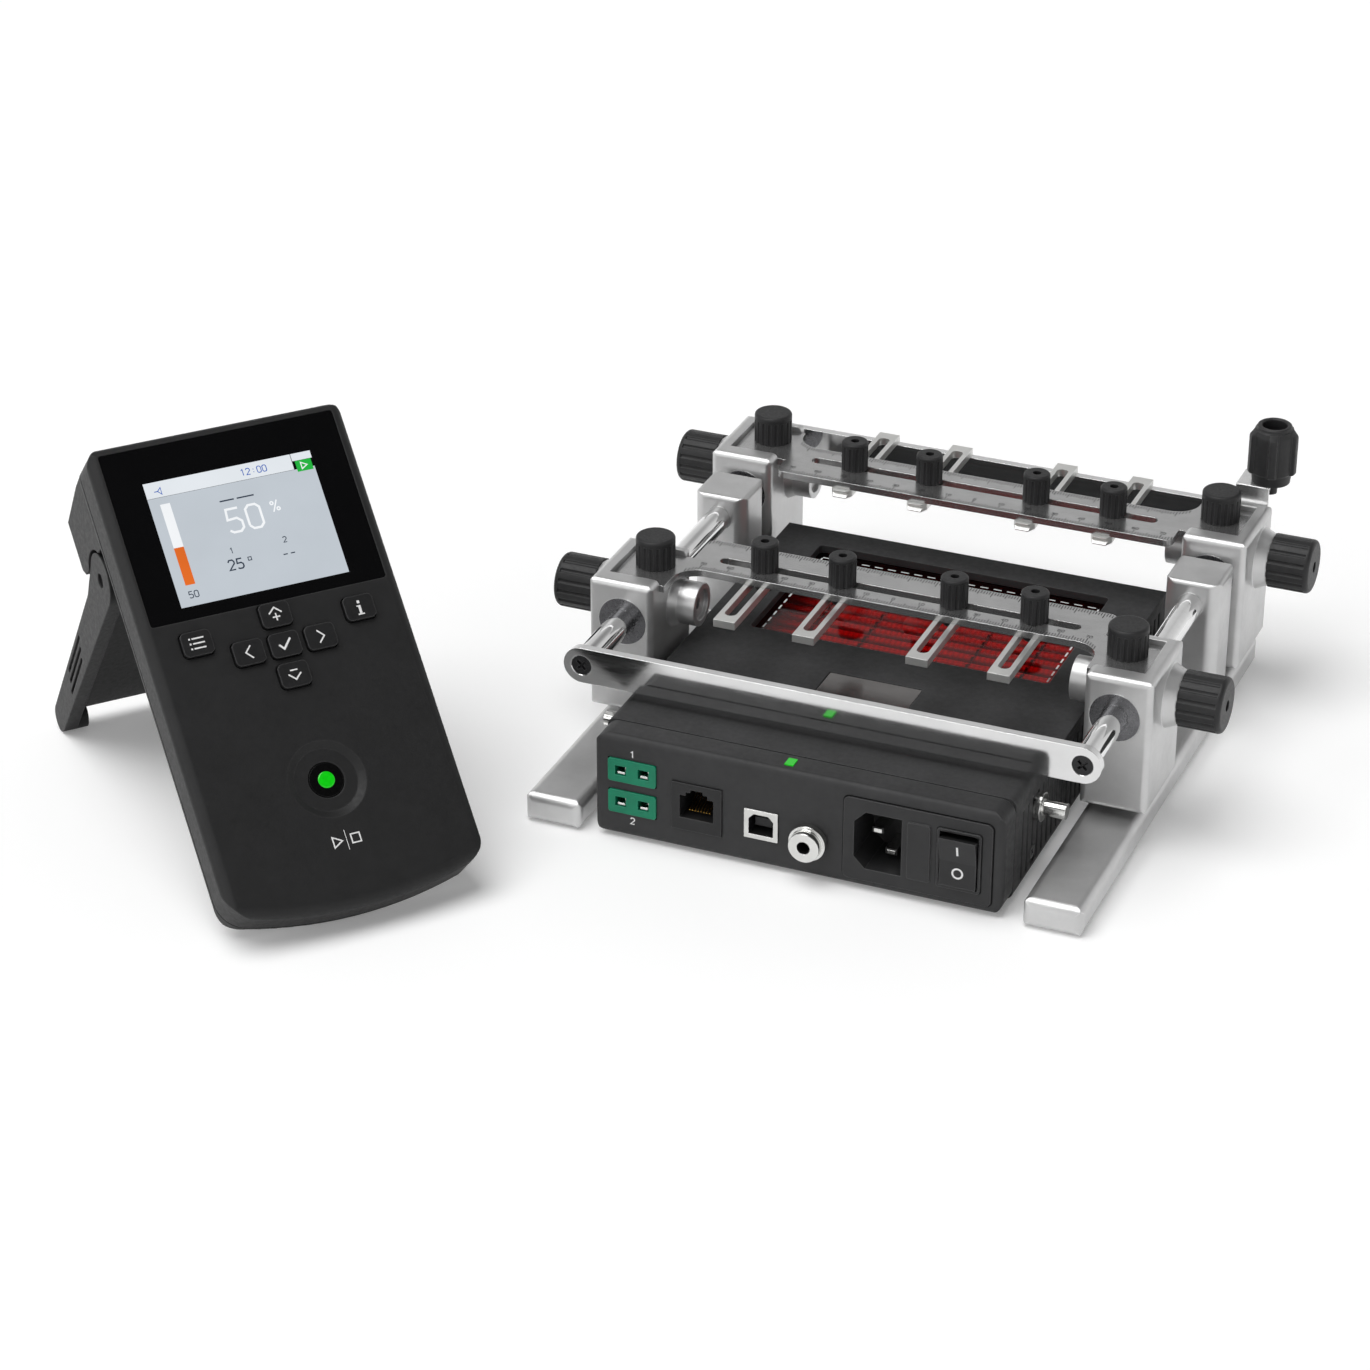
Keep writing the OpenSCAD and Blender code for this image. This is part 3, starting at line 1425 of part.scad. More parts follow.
module start_button() {
    color("black") at_console() translate([0, start_v, 0]) {
        translate([0, 0, -console_wall - slide_gap - eps])
            cylinder(d = start_d, h = console_wall + slide_gap - dish_cut + start_out);
        translate([0, 0, -console_wall - slide_gap - key_lip_t])
            cylinder(d = start_d + 2 * start_lip, h = key_lip_t);
        translate([0, 0, -console_wall])
            cylinder(d = lens_d, h = console_wall - dish_cut + start_out + lens_out);
    }
}

// Stand, hinge at the origin, folded along -Y and turned out by its opening angle

module stand_side() {
    difference() {
        along_x(stand_w / 2 - stand_side_t, stand_side_t) difference() {
            union() {
                circle(stand_top_r);
                translate([-stand_len, 0]) circle(stand_foot_r);
                polygon([
                    [0, stand_top_r], [0, -stand_top_r], [-2 * stand_top_r, -stand_foot_r],
                    [-stand_len, -stand_foot_r], [-stand_len, stand_foot_r]
                ]);
            }
            for (i = [-1:1])
                translate([-stand_len * 0.6 - i * stand_slot / 8, i * stand_slot_pitch])
                    slot_shape(stand_slot, stand_slot_w);
        }
        translate([-stand_w, 0, 0]) rod_x_dir(hinge_pin_d + 2 * run_gap, 2 * stand_w);
    }
}

module console_stand() {
    color("dimgray") at_console() translate([0, hinge_v, hinge_w]) rotate([stand_open, 0, 0]) {
        both_sides() {
            stand_side();
            translate([stand_w / 2 - stand_foot_len, -stand_len, 0])
                rod_x_dir(2 * stand_foot_r, stand_foot_len);
        }
        translate([-stand_w / 2 + 1, -stand_len, -stand_foot_r])
            cube([stand_w - 2, stand_len - 2 * stand_top_r - stand_t, stand_t]);
    }
}

side_frames();
guide_rods();
tie_bars();
heater_housing();
front_panel();
top_cover();
window_glass();
ir_emitters();
reflector_tray();
thermocouple_sockets();
signal_sockets();
power_inlet();
indicator_lamp();
side_pins();
heater_feet();
console_face();
console_back();
console_display();
front_carriages();
front_bushings();
front_ruler();
rear_carriages();
rear_bushings();
rear_ruler();
sensor_bracket();
top_knob_front_left();
top_knob_front_right();
top_knob_rear_left();
top_knob_rear_right();
side_knob_front_left();
side_knob_front_right();
side_knob_rear_left();
side_knob_rear_right();
finger_front_1();
finger_front_2();
finger_front_3();
finger_front_4();
finger_rear_1();
finger_rear_2();
finger_rear_3();
finger_rear_4();
nut_front_1();
nut_front_2();
nut_front_3();
nut_front_4();
nut_rear_1();
nut_rear_2();
nut_rear_3();
nut_rear_4();
sensor_knob();
rocker_switch();
key_menu();
key_up();
key_left();
key_ok();
key_right();
key_down();
key_info();
start_button();
console_stand();
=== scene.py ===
import json
import math

import bmesh
import bpy
from mathutils import Matrix, Vector
from mathutils.bvhtree import BVHTree


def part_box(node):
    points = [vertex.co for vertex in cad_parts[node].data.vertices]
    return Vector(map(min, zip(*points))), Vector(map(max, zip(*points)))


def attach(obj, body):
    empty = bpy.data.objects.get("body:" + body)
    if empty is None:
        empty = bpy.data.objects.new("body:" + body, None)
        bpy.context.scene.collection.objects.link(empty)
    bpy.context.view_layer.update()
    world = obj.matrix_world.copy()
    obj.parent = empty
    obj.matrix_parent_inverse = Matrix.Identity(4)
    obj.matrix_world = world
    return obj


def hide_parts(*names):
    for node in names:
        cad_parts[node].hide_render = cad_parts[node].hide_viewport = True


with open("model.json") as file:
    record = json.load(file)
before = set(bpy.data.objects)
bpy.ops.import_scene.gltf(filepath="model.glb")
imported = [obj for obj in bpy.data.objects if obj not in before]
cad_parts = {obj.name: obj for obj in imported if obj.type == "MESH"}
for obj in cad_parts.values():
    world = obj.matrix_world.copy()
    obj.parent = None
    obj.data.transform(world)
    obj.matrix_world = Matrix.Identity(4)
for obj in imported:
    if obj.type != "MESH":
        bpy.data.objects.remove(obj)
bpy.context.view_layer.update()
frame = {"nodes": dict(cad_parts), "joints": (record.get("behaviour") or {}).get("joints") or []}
NODES = frame["nodes"]

UP = Vector((0, 0, 1))
FRONT = Vector((0, -1, 0))
BACK = Vector((0, 1, 0))
LEFT = Vector((-1, 0, 0))
RIGHT = Vector((1, 0, 0))

# Frames of the three units. Sizes and places are in millimetres, unless a comment says otherwise.

# Heater: x from its middle, y from its front edge, z from the table
UNIT_X, UNIT_Y = 78.1, -52.3
# Board holder, from the heater
HOLDER_X, HOLDER_Y = 1.2, -3.1
# Console: its lower edge from the heater, its turn on the table and the lean of its face in degrees
CONSOLE_X, CONSOLE_Y, CONSOLE_Z = -113.7, -87, 11.278
CONSOLE_TURN, CONSOLE_LEAN = math.radians(49.5), math.radians(45)
CONSOLE_ORIGIN = Vector(((UNIT_X + CONSOLE_X) / 1000, (UNIT_Y + CONSOLE_Y) / 1000, CONSOLE_Z / 1000))
CONSOLE_ACROSS = Vector((math.cos(CONSOLE_TURN), math.sin(CONSOLE_TURN), 0))
CONSOLE_UP = Vector((-math.sin(CONSOLE_TURN) * math.cos(CONSOLE_LEAN),
                     math.cos(CONSOLE_TURN) * math.cos(CONSOLE_LEAN), math.sin(CONSOLE_LEAN)))
CONSOLE_OUT = CONSOLE_ACROSS.cross(CONSOLE_UP)


def unit(x, y, z):
    """A place in the heater's frame, as a point in metres."""
    return Vector(((x + UNIT_X) / 1000, (y + UNIT_Y) / 1000, z / 1000))


def holder(x, y, z):
    """A place in the board holder's frame, as a point in metres."""
    return unit(x + HOLDER_X, y + HOLDER_Y, z)


def console(u, v, w):
    """A place on the console: across, up its face and out of it, as a point in metres."""
    return CONSOLE_ORIGIN + (CONSOLE_ACROSS * u + CONSOLE_UP * v + CONSOLE_OUT * w) / 1000


# Places on the heater's front panel: the middles of the sockets and of the rocker
THERMOCOUPLE_X, THERMOCOUPLE_Z = -58.3, (26.2, 14.3)
NETWORK_X, NETWORK_Z = -35, 17.6
DATA_X, DATA_Z = -12, 16.5
JACK_X, JACK_Z = 5.1, 14.7
MAINS_X, MAINS_Z = 29.0, 19.2
ROCKER_X, ROCKER_Z = 57.1, 19.2

# Materials

# How much paler an edge is painted, as a highlight, and how strong the bump of a grain is
EDGE_HIGHLIGHT_PALER = 0.28
BUMP_STRENGTH = 0.5
# Sockets of the colour mix node
MIX_A, MIX_B, MIX_RESULT = 6, 7, 2


def linear(colour):
    """Linear value of a colour that is written as it looks on a screen."""
    return tuple(v / 12.92 if v <= 0.04045 else ((v + 0.055) / 1.055) ** 2.4 for v in colour) + (1.0,)


def new_material(name):
    material = bpy.data.materials.new(name)
    material.use_nodes = True
    tree = material.node_tree
    shader = next(n for n in tree.nodes if n.type == "BSDF_PRINCIPLED")
    return material, tree, shader


def noise(tree, scale, detail, rough=0.5, stretch=(1, 1, 1)):
    place = tree.nodes.new("ShaderNodeTexCoord")
    mapping = tree.nodes.new("ShaderNodeMapping")
    mapping.inputs["Scale"].default_value = stretch
    texture = tree.nodes.new("ShaderNodeTexNoise")
    texture.inputs["Scale"].default_value = scale
    texture.inputs["Detail"].default_value = detail
    texture.inputs["Roughness"].default_value = rough
    tree.links.new(place.outputs["Object"], mapping.inputs["Vector"])
    tree.links.new(mapping.outputs["Vector"], texture.inputs["Vector"])
    return texture.outputs["Fac"]


def spread(tree, value, low, high, cut=(0.3, 0.7)):
    """The value's stretch between the two cuts, spread over low to high."""
    span = tree.nodes.new("ShaderNodeMapRange")
    span.inputs["From Min"].default_value = cut[0]
    span.inputs["From Max"].default_value = cut[1]
    span.inputs["To Min"].default_value = low
    span.inputs["To Max"].default_value = high
    tree.links.new(value, span.inputs["Value"])
    return span.outputs["Result"]


def mixed(tree, share, first, second):
    """Mix of two colours, each of them a colour or the output of a node."""
    mix = tree.nodes.new("ShaderNodeMix")
    mix.data_type = "RGBA"
    tree.links.new(share, mix.inputs["Factor"])
    for socket, colour in ((mix.inputs[MIX_A], first), (mix.inputs[MIX_B], second)):
        if isinstance(colour, tuple):
            socket.default_value = colour
        else:
            tree.links.new(colour, socket)
    return mix.outputs[MIX_RESULT]


def edge_mask(tree, radius):
    """A mask that is 1 on sharp edges, and the normal with those edges rounded."""
    bevel = tree.nodes.new("ShaderNodeBevel")
    bevel.samples = 4
    bevel.inputs["Radius"].default_value = radius
    geometry = tree.nodes.new("ShaderNodeNewGeometry")
    dot = tree.nodes.new("ShaderNodeVectorMath")
    dot.operation = "DOT_PRODUCT"
    tree.links.new(bevel.outputs["Normal"], dot.inputs[0])
    tree.links.new(geometry.outputs["Normal"], dot.inputs[1])
    return spread(tree, dot.outputs["Value"], 0, 1, (0.995, 0.9)), bevel.outputs["Normal"]


def surface(name, colour, rough, metal, vary, blotch, rough_vary, grain, depth_um, stretch=(1, 1, 1),
            edge=0.0, edge_mm=0.4, spec=0.5):
    """A moulded, cast or machined surface: colour blotches, uneven gloss, fine grain and edges painted paler
    as a highlight.

    vary and rough_vary say how far colour and roughness wander, blotch and grain how fine their noise is, and
    depth_um how deep the grain is. edge says how much of the painted highlight, a paler tone on sharp edges,
    shows over a radius of edge_mm."""
    material, tree, shader = new_material(name)
    dark = linear([max(0.0, c * (1 - vary)) for c in colour])
    pale = linear([min(1.0, c * (1 + vary)) for c in colour])
    tint = mixed(tree, spread(tree, noise(tree, blotch, 4, 0.6), 0, 1), dark, pale)
    bump = tree.nodes.new("ShaderNodeBump")
    if edge > 0:
        mask, rounded_normal = edge_mask(tree, edge_mm / 1000)
        # Painted highlight: sharp edges get a paler colour in place of the gleam of light on rounded edges.
        highlight_share = tree.nodes.new("ShaderNodeMath")
        highlight_share.operation = "MULTIPLY"
        highlight_share.inputs[1].default_value = edge
        tree.links.new(mask, highlight_share.inputs[0])
        highlight_tone = linear([min(1.0, c + EDGE_HIGHLIGHT_PALER) for c in colour])
        tint = mixed(tree, highlight_share.outputs[0], tint, highlight_tone)
        tree.links.new(rounded_normal, bump.inputs["Normal"])
    tree.links.new(tint, shader.inputs["Base Color"])
    gloss = noise(tree, blotch * 7, 3, 0.6, stretch)
    smoothest = max(0.02, rough - rough_vary)
    tree.links.new(spread(tree, gloss, smoothest, rough + rough_vary), shader.inputs["Roughness"])
    shader.inputs["Metallic"].default_value = metal
    shader.inputs["Specular IOR Level"].default_value = spec
    bump.inputs["Strength"].default_value = BUMP_STRENGTH
    bump.inputs["Distance"].default_value = depth_um / 1e6
    tree.links.new(noise(tree, grain, 2, 0.5, stretch), bump.inputs["Height"])
    tree.links.new(bump.outputs["Normal"], shader.inputs["Normal"])
    return material


def glow(name, colour, level, base=0.05, vary=0.02, scale=60, rough=0.12):
    """A lit surface whose own light is a little uneven. The defaults are those of the lit screen."""
    material, tree, shader = new_material(name)
    dark = linear([c * (1 - vary) for c in colour])
    light = mixed(tree, spread(tree, noise(tree, scale, 2), 0, 1), dark, linear(colour))
    shader.inputs["Base Color"].default_value = tuple(c * base for c in linear(colour)[:3]) + (1,)
    tree.links.new(light, shader.inputs["Emission Color"])
    shader.inputs["Emission Strength"].default_value = level
    shader.inputs["Roughness"].default_value = rough
    return material


def red_glass():
    """Clear red pane. Its low IOR keeps the reflection of the room from veiling the tubes."""
    material, tree, shader = new_material("red_glass")
    shader.inputs["Base Color"].default_value = linear((0.86, 0.13, 0.12))
    shader.inputs["Transmission Weight"].default_value = 1.0
    shader.inputs["IOR"].default_value = 1.2
    tree.links.new(spread(tree, noise(tree, 40, 2), 0.02, 0.05), shader.inputs["Roughness"])
    return material


def heat_tube():
    """Quartz tube: dark red glow, painted brighter along its crown as light from above and darker on its
    sides as shade, the wound filament as fine rings, and a left end painted dim as shade.
    """
    material, tree, shader = new_material("heat_tube")
    place = tree.nodes.new("ShaderNodeTexCoord")
    rings = tree.nodes.new("ShaderNodeTexWave")
    rings.bands_direction = "X"
    rings.inputs["Scale"].default_value = 160
    rings.inputs["Distortion"].default_value = 0.6
    tree.links.new(place.outputs["Object"], rings.inputs["Vector"])
    ringed = mixed(tree, rings.outputs["Fac"], linear((0.50, 0.02, 0.03)), linear((0.68, 0.05, 0.06)))
    geometry = tree.nodes.new("ShaderNodeNewGeometry")
    facing = tree.nodes.new("ShaderNodeSeparateXYZ")
    tree.links.new(geometry.outputs["Normal"], facing.inputs[0])
    # Painted light: the glow is brightest where the tube faces up and dark red where it faces sideways, as
    # light and shade from above would fall.
    crown = spread(tree, facing.outputs["Z"], 0.0, 1.0, (0.45, 0.97))
    along = tree.nodes.new("ShaderNodeSeparateXYZ")
    tree.links.new(place.outputs["Object"], along.inputs[0])
    # Painted shade: the glow fades towards the tubes' left end, as if that end lay in shade.
    left_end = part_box("ir_emitters")[0].x
    end_shade_fade = spread(tree, along.outputs["X"], 0.1, 1.0, (left_end + 0.008, left_end + 0.024))
    lit = mixed(tree, crown, linear((0.13, 0.0, 0.0)), ringed)
    tree.links.new(mixed(tree, end_shade_fade, linear((0.02, 0.0, 0.0)), lit), shader.inputs["Emission Color"])
    shader.inputs["Emission Strength"].default_value = 0.62
    shader.inputs["Base Color"].default_value = linear((0.35, 0.03, 0.03))
    tree.links.new(spread(tree, noise(tree, 500, 2), 0.15, 0.3), shader.inputs["Roughness"])
    return material


MAT = {
    # Board holder
    "silver_paint": surface("cast_silver", (0.79, 0.79, 0.79), rough=0.36, metal=0.75, vary=0.03, blotch=60,
                            rough_vary=0.05, grain=5200, depth_um=6, edge=0.5, edge_mm=0.7),
    "rod_chrome": surface("chromed_rod", (0.9, 0.9, 0.9), rough=0.07, metal=1.0, vary=0.02, blotch=120,
                          rough_vary=0.02, grain=2400, depth_um=1, stretch=(0.2, 1, 1)),
    "bar_metal": surface("polished_bar", (0.86, 0.86, 0.86), rough=0.09, metal=1.0, vary=0.02, blotch=80,
                         rough_vary=0.03, grain=2600, depth_um=1, stretch=(0.15, 1, 1), edge=0.4,
                         edge_mm=0.3),
    "ruler_metal": surface("ruler_steel", (0.72, 0.72, 0.72), rough=0.24, metal=0.9, vary=0.03, blotch=80,
                           rough_vary=0.03, grain=3600, depth_um=1, stretch=(0.1, 1, 1), edge=0.6,
                           edge_mm=0.2),
    "finger_metal": surface("finger_steel", (0.84, 0.84, 0.83), rough=0.32, metal=0.75, vary=0.03, blotch=90,
                            rough_vary=0.03, grain=3600, depth_um=1.5, stretch=(1, 0.1, 1), edge=0.6,
                            edge_mm=0.2),
    "bracket_metal": surface("bent_steel", (0.86, 0.86, 0.86), rough=0.2, metal=0.85, vary=0.03, blotch=90,
                             rough_vary=0.03, grain=3600, depth_um=1.5, edge=0.5, edge_mm=0.5),
    "knob_black": surface("knob_plastic", (0.14, 0.14, 0.143), rough=0.48, metal=0.0, vary=0.12, blotch=160,
                          rough_vary=0.08, grain=5200, depth_um=20, edge=0.3, spec=0.35),
    "bushing_dark": surface("bushing_dark", (0.44, 0.44, 0.45), rough=0.28, metal=0.85, vary=0.06, blotch=160,
                            rough_vary=0.05, grain=3000, depth_um=2, edge=0.3),
    # Heater
    "housing_black": surface("housing_paint", (0.195, 0.195, 0.198), rough=0.58, metal=0.0, vary=0.07,
                             blotch=70, rough_vary=0.07, grain=4200, depth_um=40, edge=0.25, edge_mm=0.6,
                             spec=0.3),
    "panel_black": surface("panel_plastic", (0.185, 0.185, 0.188), rough=0.52, metal=0.0, vary=0.07,
                           blotch=70, rough_vary=0.07, grain=4200, depth_um=30, edge=0.25, edge_mm=0.6,
                           spec=0.3),
    "window_red": red_glass(),
    "emitter_red": heat_tube(),
    "reflector_metal": surface("reflector", (0.10, 0.03, 0.03), rough=0.45, metal=0.6, vary=0.1, blotch=60,
                               rough_vary=0.08, grain=900, depth_um=100),
    "socket_green": surface("socket_green", (0.05, 0.47, 0.345), rough=0.42, metal=0.0, vary=0.06, blotch=150,
                            rough_vary=0.06, grain=4600, depth_um=30, edge=0.3, spec=0.3),
    "socket_metal": surface("nickel", (0.83, 0.83, 0.82), rough=0.2, metal=1.0, vary=0.03, blotch=150,
                            rough_vary=0.04, grain=3000, depth_um=2, edge=0.4),
    "socket_black": surface("socket_black", (0.13, 0.13, 0.133), rough=0.4, metal=0.0, vary=0.1, blotch=150,
                            rough_vary=0.06, grain=4600, depth_um=30, edge=0.35, spec=0.3),
    "inlet_black": surface("inlet_plastic", (0.165, 0.165, 0.168), rough=0.42, metal=0.0, vary=0.08,
                           blotch=120, rough_vary=0.06, grain=5200, depth_um=30, edge=0.4, edge_mm=0.5,
                           spec=0.3),
    "rocker_black": surface("rocker_plastic", (0.15, 0.15, 0.153), rough=0.34, metal=0.0, vary=0.08,
                            blotch=120, rough_vary=0.05, grain=5200, depth_um=20, edge=0.4, edge_mm=0.5,
                            spec=0.3),
    "lamp_green": glow("lamp_green", (0.08, 0.72, 0.09), 0.85, base=0.3, vary=0.08, scale=600, rough=0.35),
    "pin_metal": surface("pin_nickel", (0.86, 0.86, 0.85), rough=0.14, metal=1.0, vary=0.03, blotch=150,
                         rough_vary=0.04, grain=3000, depth_um=2, edge=0.4),
    "pad_rubber": surface("pad_rubber", (0.09, 0.09, 0.09), rough=0.8, metal=0.0, vary=0.1, blotch=200,
                          rough_vary=0.08, grain=3000, depth_um=100, spec=0.2),
    # Console
    "console_black": surface("console_plastic", (0.12, 0.12, 0.122), rough=0.5, metal=0.0, vary=0.07,
                             blotch=90, rough_vary=0.06, grain=3400, depth_um=50, edge=0.2, edge_mm=0.8,
                             spec=0.28),
    "display_black": surface("display_glass", (0.03, 0.03, 0.034), rough=0.08, metal=0.0, vary=0.1, blotch=60,
                             rough_vary=0.03, grain=300, depth_um=2, spec=0.4),
    "key_black": surface("key_rubber", (0.105, 0.105, 0.108), rough=0.45, metal=0.0, vary=0.1, blotch=150,
                         rough_vary=0.06, grain=5200, depth_um=30, edge=0.45, edge_mm=0.6, spec=0.28),
    "button_black": surface("button_plastic", (0.025, 0.025, 0.027), rough=0.22, metal=0.0, vary=0.1,
                            blotch=120, rough_vary=0.05, grain=4000, depth_um=10, edge=0.1, spec=0.25),
    # Marks, screws, painted gap shade and contacts
    "mark_white": surface("mark_white", (0.88, 0.88, 0.88), rough=0.6, metal=0.0, vary=0.04, blotch=900,
                          rough_vary=0.05, grain=3000, depth_um=4),
    "mark_dark": surface("mark_dark", (0.06, 0.06, 0.065), rough=0.6, metal=0.0, vary=0.06, blotch=900,
                         rough_vary=0.05, grain=3000, depth_um=4),
    "screw_black": surface("screw_black", (0.13, 0.13, 0.135), rough=0.34, metal=0.4, vary=0.12, blotch=300,
                           rough_vary=0.08, grain=3000, depth_um=20, edge=0.5, edge_mm=0.2),
    "label_frame": surface("label_frame", (0.42, 0.42, 0.415), rough=0.5, metal=0.3, vary=0.05, blotch=90,
                           rough_vary=0.05, grain=3600, depth_um=8, edge=0.7, edge_mm=0.3),
    "label_steel": surface("label_steel", (0.42, 0.41, 0.405), rough=0.14, metal=0.7, vary=0.05, blotch=90,
                           rough_vary=0.05, grain=3600, depth_um=8, stretch=(0.1, 1, 1), edge=0.7),
    # Painted shade: near-black lines laid on the panel, where the gaps round the inlet's plate and the
    # rocker's rim lie in shade.
    "painted_gap_shade": surface("painted_gap_shade", (0.05, 0.05, 0.052), rough=0.7, metal=0.0, vary=0.1, blotch=300,
                         rough_vary=0.06, grain=3000, depth_um=4, spec=0.15),
    "contact_gold": surface("contact_gold", (0.75, 0.58, 0.28), rough=0.25, metal=1.0, vary=0.08, blotch=500,
                            rough_vary=0.06, grain=3000, depth_um=6),
    # Lit start button and screen
    "lens_green": glow("lens_green", (0.04, 0.74, 0.06), 0.85, base=0.4, vary=0.12, scale=900, rough=0.2),
    "screen_panel": glow("screen_panel", (0.77, 0.80, 0.83), 0.93),
    "screen_bar": glow("screen_bar", (0.90, 0.92, 0.94), 0.95),
    "screen_white": glow("screen_white", (0.95, 0.96, 0.97), 0.98),
    "screen_orange": glow("screen_orange", (0.90, 0.43, 0.16), 0.95, vary=0.05),
    "screen_dark": glow("screen_dark", (0.22, 0.26, 0.32), 0.95, vary=0.03),
    "screen_blue": glow("screen_blue", (0.16, 0.36, 0.72), 0.95, vary=0.03),
    "screen_green": glow("screen_green", (0.15, 0.72, 0.26), 0.95, vary=0.05),
}

# The finish of each node, by the start of its name. The first that fits counts.
NODE_FINISH = (
    ("side_frames", "silver_paint"), ("guide_rods", "rod_chrome"), ("tie_bars", "bar_metal"),
    ("front_carriages", "silver_paint"), ("rear_carriages", "silver_paint"),
    ("front_bushings", "bushing_dark"), ("rear_bushings", "bushing_dark"),
    ("front_ruler", "ruler_metal"), ("rear_ruler", "ruler_metal"), ("finger_", "finger_metal"),
    ("nut_", "knob_black"), ("top_knob", "knob_black"), ("side_knob", "knob_black"),
    ("sensor_knob", "knob_black"), ("sensor_bracket", "bracket_metal"),
    ("heater_housing", "housing_black"), ("top_cover", "housing_black"), ("front_panel", "panel_black"),
    ("window_glass", "window_red"), ("ir_emitters", "emitter_red"), ("reflector_tray", "reflector_metal"),
    ("thermocouple_sockets", "socket_green"), ("signal_sockets", "socket_metal"),
    ("power_inlet", "inlet_black"), ("rocker_switch", "rocker_black"), ("indicator_lamp", "lamp_green"),
    ("side_pins", "pin_metal"), ("heater_feet", "pad_rubber"), ("console_display", "display_black"),
    ("console_", "console_black"), ("key_", "key_black"), ("start_button", "button_black"),
)


def finish_nodes():
    for name, node in NODES.items():
        finish = next(finish for start, finish in NODE_FINISH if name.startswith(start))
        node.data.materials.clear()
        node.data.materials.append(MAT[finish])


# Pieces: shared shapes

# Corners closer than this, in metres, are one corner
WELD_DISTANCE = 1e-6
# Rays that look for a surface start this far in front of it, in metres
RAY_START = 0.02
# A face further than this off a plane, in metres, is another one
PLANE_TOLERANCE = 0.0002
# Step between marks that overlap, so that they don't lie in one plane
MARK_LAYER, MARK_LAYERS = 0.003, 3


def add_object(name, mesh, material, body):
    mesh.materials.append(MAT[material])
    added = bpy.data.objects.new(name, mesh)
    bpy.context.scene.collection.objects.link(added)
    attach(added, body)
    return added


def piece(name, verts, faces, material, body):
    mesh = bpy.data.meshes.new(name)
    mesh.from_pydata([tuple(v) for v in verts], [], faces)
    mesh.validate()
    return add_object(name, mesh, material, body)


def soften(target, width, segments=2):
    """Round the edges of a piece, by a width in metres."""
    target.modifiers.new("joined_corners", "WELD").merge_threshold = WELD_DISTANCE
    bevel = target.modifiers.new("soft_edges", "BEVEL")
    bevel.width = width
    bevel.segments = segments
    bevel.limit_method = "ANGLE"


def skin(rings, count, first=0):
    """Faces over rings of count corners each, closed at both ends, from the corner with the number first."""
    faces = []
    for ring_start in range(first, first + (rings - 1) * count, count):
        for i in range(count):
            a, b = ring_start + i, ring_start + (i + 1) % count
            faces.append((a, b, b + count, a + count))
    faces.append(tuple(reversed(range(first, first + count))))
    faces.append(tuple(range(first + (rings - 1) * count, first + rings * count)))
    return faces


def circle(radius, count):
    """Points round a circle."""
    turns = [2 * math.pi * i / count for i in range(count)]
    return [(radius * math.cos(a), radius * math.sin(a)) for a in turns]


def add_bar(verts, faces, sections):
    """Bar that runs to the back. Each section has its middle's x, y and z, its width and its height."""
    first = len(verts)
    for x, y, z, width, height in sections:
        for side, rise in ((-1, -1), (-1, 1), (1, 1), (1, -1)):
            verts.append(unit(x + side * width / 2, y, z + rise * height / 2))
    faces += skin(len(sections), 4, first)


def lathe(profile, base, axis, count=48):
    """Turned shape about an axis: profile is a list of radius and height."""
    side = axis.orthogonal().normalized()
    other = axis.cross(side)
    verts = []
    for radius, height in profile:
        for x, y in circle(radius, count):
            verts.append(base + (side * x + other * y + axis * height) / 1000)
    return verts, skin(len(profile), count)


def screw(name, centre, axis, head_d):
    """Countersunk screw with a cross recess, its head flush with the face at centre."""
    sides = 48
    arm, half_slot = head_d * 0.3, head_d * 0.07
    recess, recess_taper = 1.1, 0.7
    side = axis.orthogonal().normalized()
    other = axis.cross(side)
    quarter = [(half_slot, half_slot), (half_slot, arm), (-half_slot, arm)]
    cross = []
    for _ in range(4):
        cross += quarter
        quarter = [(-y, x) for x, y in quarter]
    shape = bmesh.new()

    def ring_of(points, height):
        return [shape.verts.new(centre + (side * x + other * y + axis * height) / 1000) for x, y in points]

    def loop(ring):
        return [shape.edges.new((ring[i - 1], ring[i])) for i in range(len(ring))]

    def wall(upper, lower):
        for i in range(len(upper)):
            shape.faces.new((upper[i - 1], upper[i], lower[i], lower[i - 1]))

    rim = ring_of(circle(head_d / 2, sides), 0)
    lip = ring_of(cross, 0)
    floor = ring_of([(x * recess_taper, y * recess_taper) for x, y in cross], -recess)
    cone = ring_of(circle(head_d / 4, sides), -head_d / 4)
    bmesh.ops.triangle_fill(shape, edges=loop(rim) + loop(lip), use_beauty=True)
    wall(lip, floor)
    wall(rim, cone)
    shape.faces.new(floor)
    shape.faces.new(cone)
    bmesh.ops.recalc_face_normals(shape, faces=shape.faces)
    mesh = bpy.data.meshes.new(name)
    shape.to_mesh(mesh)
    shape.free()
    add_object(name, mesh, "screw_black", "base")


# Pieces: flat shapes for printed marks, each a list of corners

def strip(path, width, closed=False):
    """Flat ribbon along a path with mitred corners, as a list of four-cornered shapes."""
    points = [Vector(p) for p in path]
    count = len(points)
    left, right = [], []
    for i, point in enumerate(points):
        arriving = (point - points[i - 1]).normalized() if i > 0 or closed else None
        leaving = (points[(i + 1) % count] - point).normalized() if i < count - 1 or closed else arriving
        if arriving is None:
            arriving = leaving
        normal = Vector((-arriving.y, arriving.x))
        mitre = normal + Vector((-leaving.y, leaving.x))
        mitre = mitre.normalized() if mitre.length > 1e-6 else normal
        reach = width / 2 * min(2.0, 1.0 / max(0.3, mitre.dot(normal)))
        left.append(point + mitre * reach)
        right.append(point - mitre * reach)
    pairs = [(i, (i + 1) % count) for i in range(count if closed else count - 1)]
    return [[left[i], right[i], right[k], left[k]] for i, k in pairs]


